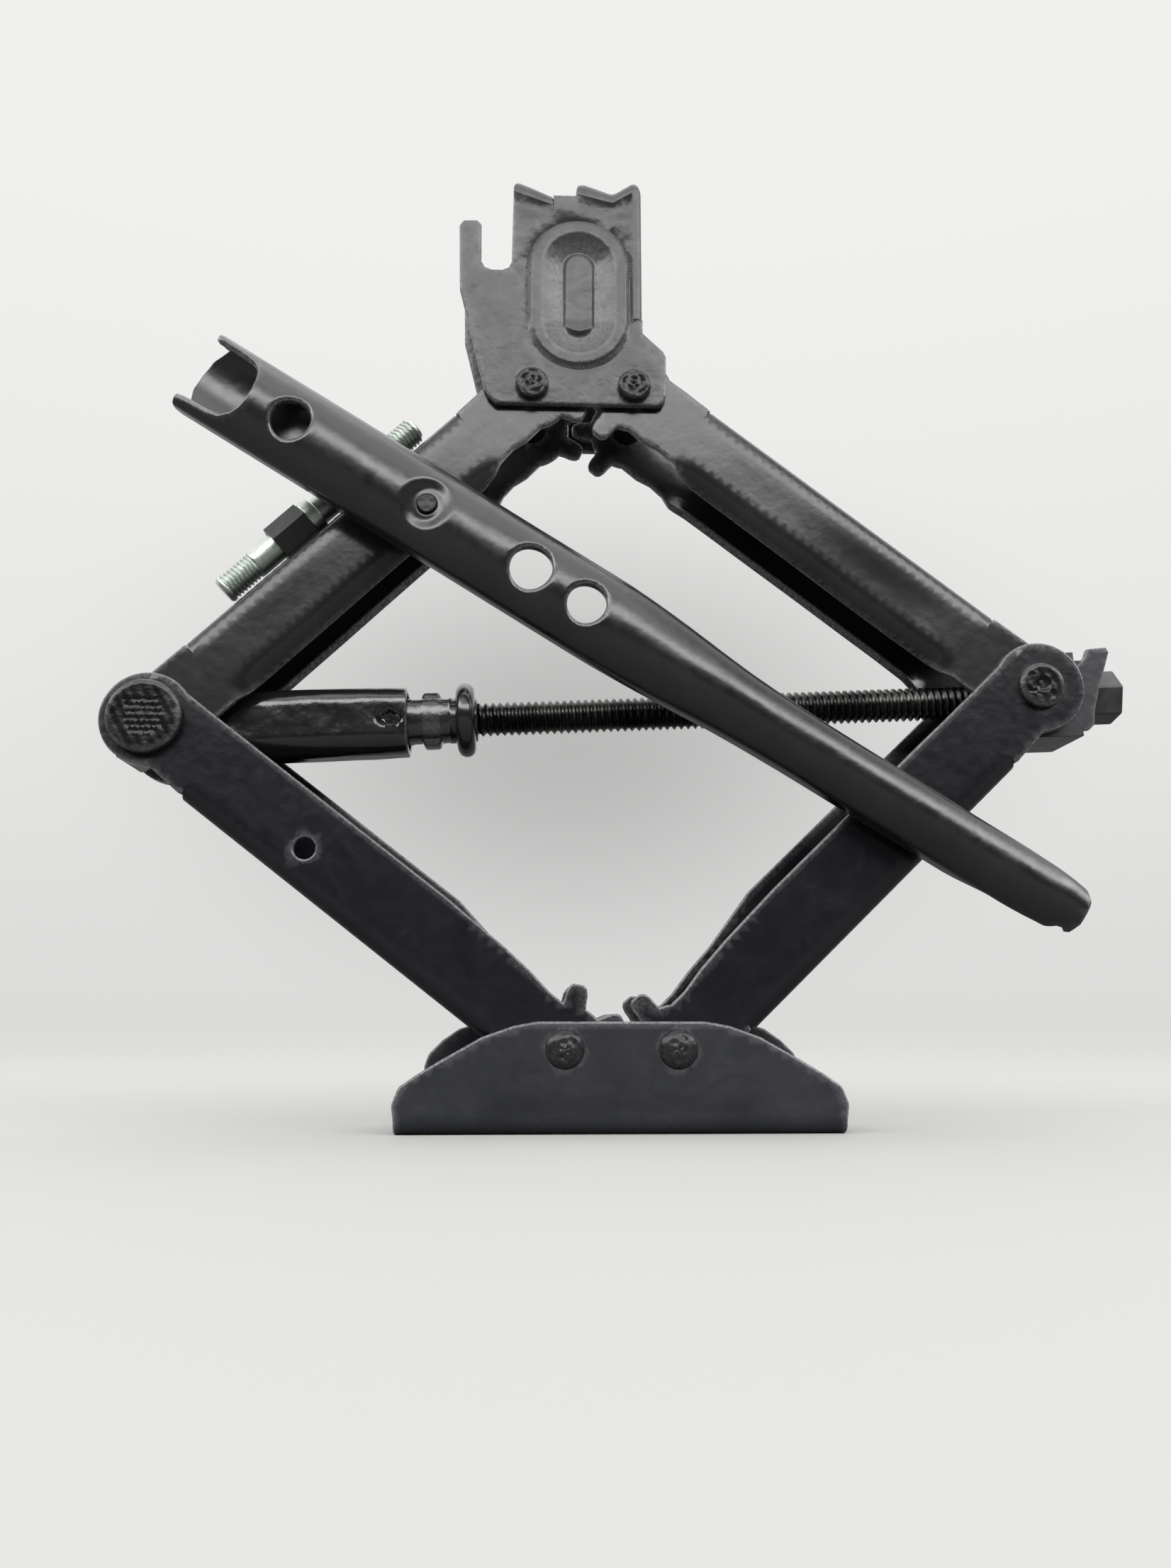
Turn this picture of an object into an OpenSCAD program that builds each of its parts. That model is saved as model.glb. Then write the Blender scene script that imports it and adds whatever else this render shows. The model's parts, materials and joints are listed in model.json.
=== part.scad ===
// Scissor jack with its stamped handle and a stowed bolt.
// Frame: X left to right, Z up from the floor, front towards -Y, origin under the middle of the base.

/* [Linkage] */
// Distance between the two pins of each arm, mm
arm_length = 176; // [150:1:200]
// Half the distance between the two base pins, and between the two head pins, mm
pin_half_gap = 18.1; // [17:0.1:20]
// Height of the base pins above the floor, mm
base_pin_height = 26.4; // [25:0.1:32]
// Angle of the arms above the floor in the stored pose, degrees
rest_angle = 40.8; // [30:0.1:50]
// Lean of the linkage to the left, from the tooth the two sides mesh on, degrees
lean = 3.06; // [0:0.01:3.5]

/* [Sheet steel] */
// Thickness of the arm, base and head sheet, mm
sheet = 3; // [2.5:0.1:3]
// Outer half width of the upper arms across the jack, mm
upper_half = 17; // [16:0.1:17]
// Outer half width of the lower arms and of the head, mm
lower_half = 20.4; // [20.4:0.1:21]
// Outer half width of the base, mm
base_half = 23.8; // [23.8:0.1:25]
// Height of the lower arms' web above the pin line, mm
lower_web = 13.5; // [12:0.1:14]
// Height of the upper arms' web above the pin line, mm
upper_web = 12.8; // [12:0.1:13.5]
// Outer radius of the rounded ears, mm
ear_radius = 15.6; // [14:0.1:16]

/* [Teeth] */
// Teeth in a full turn of the pressed sectors on the arm ends
teeth = 7; // [7:1:8]
// Tip height above the pitch circle, mm
addendum = 3; // [2.6:0.1:3.1]
// Root depth below the pitch circle, mm
dedendum = 3.9; // [3.7:0.1:4.2]
// Amount taken off each tooth's width for play, mm
tooth_play = 1.0; // [0.8:0.1:2]

/* [Screw and nut] */
// Outside radius of the screw thread, mm
screw_radius = 6; // [5:0.5:7]
// Width across the flats of the drive hexagon, mm
drive_flats = 17; // [17:1:19]
// Radius of the clear way through the nut, mm
nut_way = 6.6; // [6.5:0.1:7]
// Radial running clearance of every pin in its hole, mm
running = 0.05; // [0.02:0.01:0.1]

/* [Handle] */
// Slope of the stored handle below the horizontal, degrees
handle_slope = 32.1; // [30:0.1:34]
// Gap plane behind the handle, measured forwards from the middle, mm
handle_back = 25.2; // [25:0.1:27]
// Depth of the handle's channel, mm
handle_depth = 13; // [11:0.5:15]
// Thickness of the handle's sheet, mm
handle_sheet = 2.5; // [2:0.1:3]

/* [Stowed bolt] */
// Radius of the stowed bolt, mm
bolt_radius = 5; // [4:0.5:5]
// Distance of the bolt's axis from the arm's pin line, mm
bolt_height = 20.6; // [19:0.1:22]

/* [Hidden] */
pitch_r = pin_half_gap;
root_r = pitch_r - dedendum;
tip_r = pitch_r + addendum;
base_r = pitch_r * cos(20);
steep = rest_angle + lean;
shallow = rest_angle - lean;
bl = [-pin_half_gap, base_pin_height];
br = [pin_half_gap, base_pin_height];
tl = bl + arm_length * [-cos(shallow), sin(shallow)];
tr = br + arm_length * [cos(steep), sin(steep)];
hl = tl + arm_length * [cos(steep), sin(steep)];
hr = tr + arm_length * [-cos(shallow), sin(shallow)];
head_x = (hl[0] + hr[0]) / 2;
head_z = hl[1];
tilt = atan2(tr[1] - tl[1], tr[0] - tl[0]);
pin_r = 5;
pin_r_left = 8;
pin_r_right = 6;
upper_in = upper_half - sheet;
lower_in = lower_half - sheet;
base_in = base_half - sheet;
web_start = 26;
web_end = arm_length - 26;
handle_at = [-111, 233.2];
clip_u = 246.49;
clip_v = -3.1;
arm_hole_r = 3.65;
socket_u = 54.5;
dimple = 2;
rivet_r = 3.1;
bolt_y = -8;
round_n = 48;
// Stations along the screw, measured from the pin at each side, mm
nut_face = 20;
tube_end = 85;
neck_end = 109;
tube_wall = 2.2;
yoke_face = 14;
yoke_sheet = 2.5;
washer_start = 16.8;
collar_start = 19.8;
hex_start = 24.2;
hex_length = 10.6;
screw_reach = 290;
pin_inner = 8.5;
block_half = 13.6;
// Headed ends of the pins and rivets, mm
nut_pin_head = 12.4;
bearing_pin_head = 7.8;
head_rivet_r = 5.8;
// Stations of the stowed bolt along the upper left arm, mm
bolt_start = 48;
bolt_end = 138.2;
sleeve_start = 72.5;
sleeve_end = 86.5;
saddle_start = 98;
saddle_length = 18;

// ---------- shared shapes ----------

// A flat sheet standing in the X-Z plane between two Y values
module sheet_between(y0, y1)
    rotate([90, 0, 0]) translate([0, 0, -y1]) linear_extrude(height = y1 - y0) children();

// A round bar along Y between two Y values
module bar_y(x, z, r, y0, y1)
    translate([x, y0, z]) rotate([-90, 0, 0]) cylinder(r = r, h = y1 - y0, $fn = round_n);

// A round bar along X from x0 to x1
module bar_x(r, x0, x1)
    translate([x0, 0, 0]) rotate([0, 90, 0]) cylinder(r = r, h = x1 - x0, $fn = round_n);

// Section given as [y, z] points, run along X
module run_x(x0, x1, pts)
    translate([x0, 0, 0]) rotate([90, 0, 90]) linear_extrude(height = x1 - x0) polygon(pts);

function arc(c, r, a0, a1, n) =
    [for (i = [0:n]) let (a = a0 + (a1 - a0) * i / n) [c[0] + r * cos(a), c[1] + r * sin(a)]];
function flip_y(pts) = [for (i = [len(pts) - 1:-1:0]) [-pts[i][0], pts[i][1]]];

// Angle of an involute at radius r, degrees
function roll(r) = r <= base_r ? 0 : tan(acos(base_r / r)) * 180 / PI - acos(base_r / r);
half_tooth = (PI * pitch_r / teeth - tooth_play) / 2 / pitch_r * 180 / PI;
// Half width of a tooth at radius r, degrees, with a fillet at the root and a rounded tip
root_fillet = 4;
tip_round = 2;
function fillet(r) = let (d = pitch_r - 1 - r) d <= 0 ? 0 : root_fillet * pow(d / (dedendum - 1), 1.5);
function flank(r) = half_tooth + roll(pitch_r) - roll(r) + fillet(r) - (r == tip_r ? tip_round : 0);
tooth_radii = [root_r - 1, root_r + 0.2, root_r + 1, base_r - 0.8, base_r, pitch_r, pitch_r + 1.2,
    tip_r - 0.8, tip_r];
function tooth_pts(a) = concat(
    [for (r = tooth_radii) [r * cos(a - flank(r)), r * sin(a - flank(r))]],
    [for (i = [len(tooth_radii) - 1:-1:0]) let (r = tooth_radii[i])
        [r * cos(a + flank(r)), r * sin(a + flank(r))]]);
half_pitch = 180 / teeth;

// Toothed end of an arm around its pin
module toothed_end(first, count) {
    circle(r = root_r, $fn = round_n);
    for (k = [0:count - 1])
        polygon(tooth_pts(first + k * 360 / teeth));
}

// ---------- base ----------

front_half = [[72, 4], [72.7, 9.3], [70.6, 14.7], [65, 18.6], [57.2, 23.2], [44.5, 30.3],
    [34.4, 33.8], [27, 35.1]];
back_half = [[66, 4], [66, 20], [64.5, 24], [60, 28.5], [54, 32.6], [47, 34.6], [40, 35.1]];

module base_wall(half, y0, y1)
    difference() {
        sheet_between(y0, y1) polygon(concat(half, flip_y(half)));
        for (p = [bl, br])
            bar_y(p[0], p[1], pin_r, y0 - 1, y1 + 1);
    }

module base_channel() color([0.09, 0.09, 0.10]) {
    union() {
        difference() {
            run_x(-72, 72, concat(
                arc([base_half - 4, 4], 4, -90, 0, 6), [[base_half, 6], [base_in, 6]],
                arc([base_in - 1, 4], 1, 0, -90, 2),
                arc([-base_in + 1, 4], 1, -90, -180, 2), [[-base_in, 6], [-base_half, 6]],
                arc([-base_half + 4, 4], 4, -180, -90, 6)));
            translate([66, base_in - 0.5, -1]) cube([10, 10, 10]);
            translate([-76, base_in - 0.5, -1]) cube([10, 10, 10]);
        }
        base_wall(front_half, -base_half, -base_in);
        base_wall(back_half, base_in, base_half);
    }
}

module base_rivet(p) color([0.11, 0.11, 0.12]) {
    bar_y(p[0], p[1], pin_r, -base_half, base_half);
    for (s = [-1, 1])
        translate([p[0], s * base_half, p[1]]) rotate([s * -90, 0, 0])
            rotate_extrude($fn = round_n)
                polygon(concat([[0, 0]], arc([0, -5.6], 8.6, 40.6, 90, 6)));
}

module base_rivet_left() base_rivet(bl);
module base_rivet_right() base_rivet(br);

// ---------- arms, drawn with the pin line along X and the web on the +Z side ----------

module lower_flange(inner, phase, angle, hole)
    difference() {
        union() {
            toothed_end(phase - (180 - angle) - 2 * half_pitch, 3);
            translate([arm_length, 0]) circle(r = ear_radius, $fn = round_n);
            polygon([[0, -11.3], [14.7, -11.3], [24, -12.8], [36, -13.8], [60, inner],
                [arm_length - 14, inner], [arm_length - 4, -14.8], [arm_length, -10],
                [arm_length, 12], [web_end + 4, 11.4], [web_end, lower_web - 4],
                [web_start - 4, lower_web - 4], [web_start - 8, 11.2], [0, 12]]);
        }
        circle(r = pin_r + running, $fn = round_n);
        translate([arm_length, 0]) circle(r = (phase > 0 ? pin_r_left : pin_r_right) + running,
            $fn = round_n);
        if (hole)
            translate([107, 1.3]) circle(r = arm_hole_r, $fn = round_n);
    }

module lower_arm(phase, angle) {
    bend = 4.5;
    run_x(web_start - 4, web_end, concat(
        [[lower_in, lower_web - 6], [lower_half, lower_web - 6]],
        arc([lower_half - bend, lower_web - bend], bend, 0, 90, 6),
        arc([-lower_half + bend, lower_web - bend], bend, 90, 180, 6),
        [[-lower_half, lower_web - 6], [-lower_in, lower_web - 6]],
        arc([-lower_half + bend, lower_web - bend], bend - sheet, 180, 90, 4),
        arc([lower_half - bend, lower_web - bend], bend - sheet, 90, 0, 4)));
    sheet_between(-lower_half, -lower_in) lower_flange(-14.7, phase, angle, true);
    sheet_between(lower_in, lower_half) lower_flange(-18, phase, angle, false);
}

module lower_left_arm() color([0.085, 0.085, 0.095])
    translate([bl[0], 0, bl[1]]) rotate([0, shallow - 180, 0]) lower_arm(half_pitch, shallow);

module lower_right_arm() color([0.085, 0.085, 0.095])
    translate([br[0], 0, br[1]]) rotate([0, -steep, 0]) mirror([0, 0, 1])
        lower_arm(0, steep);

module upper_flange(phase, angle, pin_hole, hole)
    difference() {
        union() {
            circle(r = ear_radius, $fn = round_n);
            translate([arm_length, 0]) toothed_end(phase - angle - 2 * half_pitch, 3);
            polygon([[0, -12], [8, -14.4], [web_start, -14.6], [web_start + 2, -6],
                [web_end - 2, -6], [web_end, -12.2], [arm_length - 20, -11.6],
                [arm_length - 14.2, -12.6], [arm_length, -12],
                [arm_length, 12], [arm_length - 14, 12.2], [web_end + 4, 11.6],
                [web_end, upper_web - 4], [web_start, upper_web - 4], [web_start - 4, 11.6],
                [0, 12.5]]);
            if (hole)
                translate([web_start, -8]) square([web_end - web_start, 6]);
        }
        circle(r = pin_hole + running, $fn = round_n);
        translate([arm_length, 0]) circle(r = pin_r + running, $fn = round_n);
    }

lip_c = [upper_half - 9, -7.5];
module upper_arm(phase, angle, pin_hole, hole) {
    bend = 4.5;
    side = concat(
        arc(lip_c, 9 - sheet, -60, 0, 5), arc([upper_half - bend, upper_web - bend],
            bend - sheet, 0, 90, 4));
    skin = concat(
        arc(lip_c, 9, -60, 0, 6), arc([upper_half - bend, upper_web - bend], bend, 0, 90, 6));
    difference() {
        union() {
            run_x(web_start, web_end, concat(skin, flip_y(skin),
                [for (i = [0:len(side) - 1]) [-side[i][0], side[i][1]]],
                [for (i = [len(side) - 1:-1:0]) side[i]]));
            sheet_between(-upper_half, -upper_in) upper_flange(phase, angle, pin_hole, false);
            sheet_between(upper_in, upper_half) upper_flange(phase, angle, pin_hole, false);
        }
        if (hole)
            bar_y(99.3, -9.1, 3, 5, 30);
    }
}

module upper_left_arm() color([0.16, 0.16, 0.16])
    translate([tl[0], 0, tl[1]]) rotate([0, -steep, 0])
        upper_arm(half_pitch, steep, pin_r_left, false);

module upper_right_arm() color([0.15, 0.15, 0.155])
    translate([tr[0], 0, tr[1]]) rotate([0, shallow - 180, 0]) mirror([0, 0, 1])
        upper_arm(0, shallow, pin_r_right, true);

// ---------- nut side, drawn at the left trunnion with the screw along X ----------

module at_left() translate([tl[0], 0, tl[1]]) rotate([0, -tilt, 0]) children();
module at_right() translate([tr[0], 0, tr[1]]) rotate([0, -tilt, 0]) children();

module nut_block() color([0.07, 0.07, 0.075]) at_left()
    difference() {
        translate([-11.5, -block_half, -11.5]) cube([nut_face + 11.5, 2 * block_half, 23]);
        bar_x(nut_way + 0.8, -20, 30);
        bar_y(0, 0, pin_r_left, -20, -pin_inner);
        bar_y(0, 0, pin_r_left, pin_inner, 20);
    }

module trunnion_pin(r, r_head, s, inner, head)
    rotate([0, 0, s > 0 ? 0 : 180]) {
        bar_y(0, 0, r, inner, lower_half + 0.3);
        translate([0, lower_half + 0.3, 0]) rotate([-90, 0, 0]) rotate_extrude($fn = round_n)
            polygon([[0, 0], [r_head, 0], [r_head, head - 1], [r_head - 1, head], [0, head]]);
    }

module nut_pin_front() color([0.10, 0.10, 0.105]) at_left() trunnion_pin(pin_r_left, nut_pin_head, -1, pin_inner, 3.6);
module nut_pin_back() color([0.10, 0.10, 0.105]) at_left() trunnion_pin(pin_r_left, nut_pin_head, 1, pin_inner, 3.6);

tube_out = concat(arc([3, 5.2], 7, 0, 90, 8), arc([-3, 5.2], 7, 90, 180, 8),
    arc([-3, -5.4], 7, 180, 270, 8), arc([3, -5.4], 7, 270, 360, 8));
tube_in = concat(arc([3, 5.2], 7 - tube_wall, 0, 90, 6), arc([-3, 5.2], 7 - tube_wall, 90, 180, 6),
    arc([-3, -5.4], 7 - tube_wall, 180, 270, 6), arc([3, -5.4], 7 - tube_wall, 270, 360, 6));

module nut_tube() color([0.06, 0.06, 0.065]) at_left()
    difference() {
        run_x(nut_face, tube_end, tube_out);
        run_x(nut_face - 1, tube_end + 1, tube_in);
        bar_y(tube_end - 1.5, 0, 4.6, -20, -5);
    }

module nut_neck() color([0.06, 0.06, 0.065]) at_left()
    difference() {
        bar_x(8, tube_end, neck_end);
        bar_x(nut_way, tube_end - 1, neck_end + 1);
    }

module nut_collar() color([0.07, 0.07, 0.075]) at_left()
    translate([neck_end - 7.5, 0, 0]) rotate([0, 90, 0]) rotate_extrude($fn = round_n)
        polygon([[8, 0], [12, 0], [13.2, 1.4], [13.2, 5.6], [12, 7], [8, 7]]);

// ---------- bearing side ----------

module bearing_block() color([0.07, 0.07, 0.075]) at_right()
    difference() {
        translate([-10, -block_half, -10]) cube([yoke_face + 10, 2 * block_half, 20]);
        bar_x(screw_radius + 0.1, -20, 30);
        bar_y(0, 0, pin_r_right, -20, -pin_inner);
        bar_y(0, 0, pin_r_right, pin_inner, 20);
    }

module bearing_pin_front() color([0.10, 0.10, 0.105]) at_right() trunnion_pin(pin_r_right, bearing_pin_head, -1, pin_inner, 2.6);
module bearing_pin_back() color([0.10, 0.10, 0.105]) at_right() trunnion_pin(pin_r_right, bearing_pin_head, 1, pin_inner, 2.6);

module bearing_yoke() color([0.09, 0.09, 0.095]) at_right()
    difference() {
        union() {
            translate([yoke_face, -12.5, -14]) cube([yoke_sheet, 25, 28]);
            translate([0, -block_half, -14 - yoke_sheet])
                cube([yoke_face + yoke_sheet, 2 * block_half, yoke_sheet]);
            for (y = [-block_half, block_half - 2.2])
                translate([0, y, -14]) cube([yoke_face + yoke_sheet, 2.2, 4]);
            translate([0, -11, 10]) cube([yoke_face + yoke_sheet, 22, yoke_sheet]);
            // fin that stands out beside the hexagon
            sheet_between(-12.5, -12.5 + yoke_sheet)
                polygon([[yoke_face, -6], [yoke_face, 10.9], [19.5, 10.9], [20.8, 9.3],
                    [18.9, 4.1], [16.9, -1.2], [16.4, -6]]);
        }
        bar_x(screw_radius + 0.1, -20, 30);
    }

// ---------- screw ----------

module screw_rod() color([0.12, 0.115, 0.11]) at_right()
    union() {
        bar_x(screw_radius, -screw_reach + 2, hex_start);
        translate([-screw_reach, 0, 0]) rotate([0, 90, 0])
            cylinder(r1 = screw_radius - 1.5, r2 = screw_radius, h = 2, $fn = round_n);
    }

module screw_washer() color([0.14, 0.14, 0.14]) at_right()
    difference() {
        bar_x(9.5, washer_start, collar_start);
        bar_x(screw_radius, 10, 30);
    }

module screw_lock_collar() color([0.10, 0.10, 0.10]) at_right()
    difference() {
        bar_x(8, collar_start, hex_start);
        bar_x(screw_radius, 10, 30);
    }

module drive_hex() color([0.10, 0.10, 0.10]) at_right()
    translate([hex_start, 0, 0]) rotate([19, 0, 0]) rotate([0, 90, 0])
        cylinder(r = drive_flats / sqrt(3), h = hex_length, $fn = 6);

// ---------- head ----------

head_front = [[-30.8, -6.7], [-33.6, -3.8], [-35.2, -0.1], [-44.2, 37.4], [-44.7, 62.3],
    [-43.2, 64.4], [-38.4, 64.5], [-36.8, 63], [-36.7, 48.4], [-35.4, 46], [-32.8, 45],
    [-29, 45], [-26.8, 46], [-25.7, 48.4], [-25.2, 80], [-24.4, 81.6], [-22.4, 81.4],
    [-11, 76.1], [-10.2, 75.3], [-4, 75.4], [-2.6, 76.8], [-1.7, 80.8], [0.3, 81.7],
    [10.8, 77.7], [17.8, 82.6], [20.2, 82.4], [21.2, 80], [21.4, 21.3], [28.7, 14.3],
    [29.6, 12.2], [29.5, -2.8], [28.2, -5.8], [26.6, -6.7]];

// Top sheets between the two walls, which carry the car
saddle_left = [[-25.2, 79.5], [-24.4, 81.4], [-22.4, 81.2], [-11, 75.9], [-11.4, 72.8],
    [-23.2, 78.2], [-25.2, 78.3]];
saddle_right = [[-2.6, 76.8], [-1.7, 80.6], [0.3, 81.5], [10.8, 77.5], [17.8, 82.4], [20.2, 82.2],
    [21.2, 79.9], [21.2, 78.4], [18.6, 79.2], [11, 74.2], [0.8, 78.1]];

module stadium(w, h) {
    translate([0, (h - w) / 2]) circle(r = w / 2, $fn = round_n);
    translate([0, -(h - w) / 2]) circle(r = w / 2, $fn = round_n);
    square([w, h - w], center = true);
}

module head_wall(y0, y1)
    difference() {
        sheet_between(y0, y1) polygon(head_front);
        for (s = [-1, 1])
            bar_y(s * pin_half_gap, 0, pin_r, y0 - 1, y1 + 1);
    }

module head_bracket() color([0.20, 0.20, 0.205]) translate([head_x, 0, head_z])
    union() {
        head_wall(-lower_half, -lower_in);
        head_wall(lower_in, lower_half);
        translate([21.2 - sheet, -lower_half + 0.5, 25]) cube([sheet, lower_half * 2 - 1, 50]);
        sheet_between(-lower_half + 0.5, lower_half - 0.5) polygon(saddle_left);
        sheet_between(-lower_half + 0.5, lower_half - 0.5) polygon(saddle_right);
        sheet_between(-lower_half - 1.2, -lower_half) translate([-1.5, 36])
            difference() {
                stadium(36, 58);
                stadium(25, 47);
            }
        sheet_between(-lower_half - 0.8, -lower_half) translate([-1.5, 36])
            stadium(12, 34);
    }

module head_rivet(x) color([0.22, 0.22, 0.22]) {
    bar_y(head_x + x, head_z, pin_r, -lower_half, lower_half);
    for (s = [-1, 1])
        translate([head_x + x, s * lower_half, head_z]) rotate([s * -90, 0, 0])
            cylinder(r = head_rivet_r, h = 3.1, $fn = round_n);
}

module head_rivet_left() head_rivet(-pin_half_gap);
module head_rivet_right() head_rivet(pin_half_gap);

// ---------- handle, drawn with its length along X and its front at -Y ----------

module at_handle() translate([handle_at[0], 0, handle_at[1]]) rotate([0, handle_slope, 0]) children();

hb = -handle_back;
hf = -handle_back - handle_depth;
handle_top = [[-39.5, 11.8], [-37, 15], [-20, 15.2], [128, 15.2], [150, 13.4], [176, 10],
    [200, 8.6], [292, 8.3], [299, 7.4], [305, 4.4]];
handle_low = [[307.5, 1.5], [307.3, -5.6], [305, -9.4], [300, -10.6], [290, -11.6],
    [200, -11.8], [176, -12.4], [150, -14.2], [128, -15.2], [-20, -15.2], [-36, -15.2],
    [-39.5, -12]];
inner_top = [[-41, 12.7], [128, 12.7], [150, 10.9], [176, 7.5], [200, 6.1],
    [282, 5.8]];
inner_low = [[282, -9.1], [200, -9.3], [176, -9.9], [150, -11.7], [128, -12.7],
    [-41, -12.7]];

module handle_body() color([0.17, 0.17, 0.175]) at_handle()
    difference() {
        sheet_between(hf, hb) polygon(concat(handle_top, handle_low));
        difference() {
            sheet_between(hf + handle_sheet, hb + 1) polygon(concat(inner_top, inner_low));
            bar_y(socket_u, 0, 8, hf, hf + handle_sheet + dimple);
        }
        // flattened prying tip, thin from the front face back
        translate([284, hf + 6, -30]) cube([40, 20, 60]);
        // rounded mouth cut in the front face
        sheet_between(hf - 1, hf + handle_sheet + 0.5) {
            translate([-34, -0.8]) circle(r = 17.4, $fn = round_n);
            translate([-60, -12.7]) square([34, 25.4]);
        }
        // dimple pressed in over the socket, with its rivet hole
        translate([socket_u, hf, 0]) rotate([-90, 0, 0])
            cylinder(r1 = 9.5, r2 = 5, h = dimple, $fn = round_n);
        bar_y(socket_u, 0, rivet_r, hf - 1, hf + 8);
        bar_y(0, 0, 6.75, hf - 1, hf + 4);
        bar_y(95.5, 0, 7.1, hf - 1, hf + 4);
        bar_y(117.5, -0.4, 6.5, hf - 1, hf + 4);
    }

module handle_back_plate() color([0.13, 0.13, 0.135]) at_handle()
    sheet_between(hb - 2.2, hb) polygon([[-34, -12.7], [-38, -6], [-38.6, 0], [-38, 6],
        [-34, 12.7], [34, 12.7], [34, -12.7]]);

module handle_socket() color([0.14, 0.14, 0.14]) at_handle()
    difference() {
        bar_y(socket_u, 0, 12.4, hf + handle_sheet + dimple, hb);
        translate([socket_u, hb + 1, 0]) rotate([90, 30, 0])
            cylinder(r = (drive_flats + 0.3) / sqrt(3), h = 8, $fn = 6);
    }

// Rivet that holds the socket, its head at the bottom of the dimple
module socket_rivet() color([0.20, 0.20, 0.20]) at_handle()
    bar_y(socket_u, 0, rivet_r, hf + dimple - 0.6, hf + handle_sheet + dimple);

// Spring clip on the lower right arm that grips the handle from behind
module handle_clip() color([0.10, 0.10, 0.10]) at_handle()
    difference() {
        translate([clip_u, 0, -1.7]) {
            translate([-9, -lower_half - 1.4, -6.8]) cube([18, 1.4, 13.6]);
            for (s = [-1, 1])
                translate([-9, -lower_half - 13, s * 6.3 - 0.6]) cube([18, 12, 1.2]);
        }
        bar_y(clip_u, clip_v, arm_hole_r, -lower_half - 5, -lower_half + 1);
    }

// Rivet through the clip and the hole in the arm behind it, a head on each side
module handle_clip_rivet() color([0.12, 0.12, 0.12]) at_handle() {
    bar_y(clip_u, clip_v, arm_hole_r, -lower_half - 1.4, -lower_in);
    bar_y(clip_u, clip_v, 4.1, -lower_half - 2.9, -lower_half - 1.4);
    bar_y(clip_u, clip_v, 4.8, -lower_in, -lower_in + 1.5);
}

// ---------- stowed bolt, drawn along the upper left arm ----------

module at_bolt() translate([tl[0], 0, tl[1]]) rotate([0, -steep, 0])
    translate([0, bolt_y, bolt_height]) children();

module bolt_rod() color([0.62, 0.64, 0.62]) at_bolt()
    union() {
        bar_x(bolt_radius, bolt_start + 1, bolt_end - 2.2);
        translate([bolt_start, 0, 0]) rotate([0, 90, 0]) cylinder(r1 = bolt_radius - 0.8, r2 = bolt_radius,
            h = 1, $fn = round_n);
        translate([bolt_end - 2.2, 0, 0]) rotate([0, 90, 0]) cylinder(r1 = bolt_radius, r2 = bolt_radius - 1.6,
            h = 2.2, $fn = round_n);
    }

module bolt_hex_sleeve() color([0.05, 0.05, 0.05]) at_bolt()
    difference() {
        translate([sleeve_start, 0, 0]) rotate([30, 0, 0]) rotate([0, 90, 0])
            cylinder(r = 7.5, h = sleeve_end - sleeve_start, $fn = 6);
        bar_x(bolt_radius, 70, 90);
    }

module bolt_collar() color([0.6, 0.62, 0.6]) at_bolt()
    difference() {
        bar_x(6.6, sleeve_end, sleeve_end + 4.5);
        bar_x(bolt_radius, 80, 95);
    }

// Open spring saddle on the arm's web, under the bolt
module bolt_clip() color([0.10, 0.10, 0.10]) at_bolt()
    difference() {
        translate([saddle_start, -7.2, upper_web - bolt_height])
            cube([saddle_length, 14.4, bolt_height - upper_web + 2]);
        bar_x(bolt_radius + 0.4, 90, 120);
        translate([90, -bolt_radius - 0.4, 0]) cube([40, bolt_radius * 2 + 0.8, 10]);
    }

base_channel();
base_rivet_left();
base_rivet_right();
lower_left_arm();
lower_right_arm();
upper_left_arm();
upper_right_arm();
nut_block();
nut_pin_front();
nut_pin_back();
nut_tube();
nut_neck();
nut_collar();
bearing_block();
bearing_pin_front();
bearing_pin_back();
bearing_yoke();
screw_rod();
screw_washer();
screw_lock_collar();
drive_hex();
head_bracket();
head_rivet_left();
head_rivet_right();
handle_body();
handle_back_plate();
handle_socket();
socket_rivet();
handle_clip();
handle_clip_rivet();
bolt_rod();
bolt_hex_sleeve();
bolt_collar();
bolt_clip();
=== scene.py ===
import bpy, bmesh, math
import numpy as np
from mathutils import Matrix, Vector, geometry
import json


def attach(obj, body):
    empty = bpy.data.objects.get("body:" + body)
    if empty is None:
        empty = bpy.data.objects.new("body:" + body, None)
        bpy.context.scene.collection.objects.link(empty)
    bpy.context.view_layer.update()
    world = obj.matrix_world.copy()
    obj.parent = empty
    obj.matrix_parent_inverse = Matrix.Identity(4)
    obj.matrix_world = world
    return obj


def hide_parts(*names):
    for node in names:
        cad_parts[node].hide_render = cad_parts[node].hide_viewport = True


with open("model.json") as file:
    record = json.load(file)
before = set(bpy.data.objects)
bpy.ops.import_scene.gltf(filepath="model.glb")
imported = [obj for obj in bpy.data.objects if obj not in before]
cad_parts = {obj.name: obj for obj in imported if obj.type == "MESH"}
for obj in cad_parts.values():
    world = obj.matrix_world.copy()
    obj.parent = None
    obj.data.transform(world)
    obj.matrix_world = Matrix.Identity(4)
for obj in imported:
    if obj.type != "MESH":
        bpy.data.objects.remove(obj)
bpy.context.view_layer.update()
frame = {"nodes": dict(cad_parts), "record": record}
MM = 0.001


# ---------- materials ----------

def feed(nt, socket, value):
    """Links an output to the socket, or sets the socket to a plain value."""
    if isinstance(value, bpy.types.NodeSocket):
        nt.links.new(value, socket)
    else:
        socket.default_value = value


def node(nt, kind, **kw):
    """Shader node with its settings and inputs given by name."""
    n = nt.nodes.new(kind)
    for k, v in kw.items():
        if k in n.inputs.keys():
            feed(nt, n.inputs[k], v)
        else:
            setattr(n, k, v)
    return n


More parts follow.
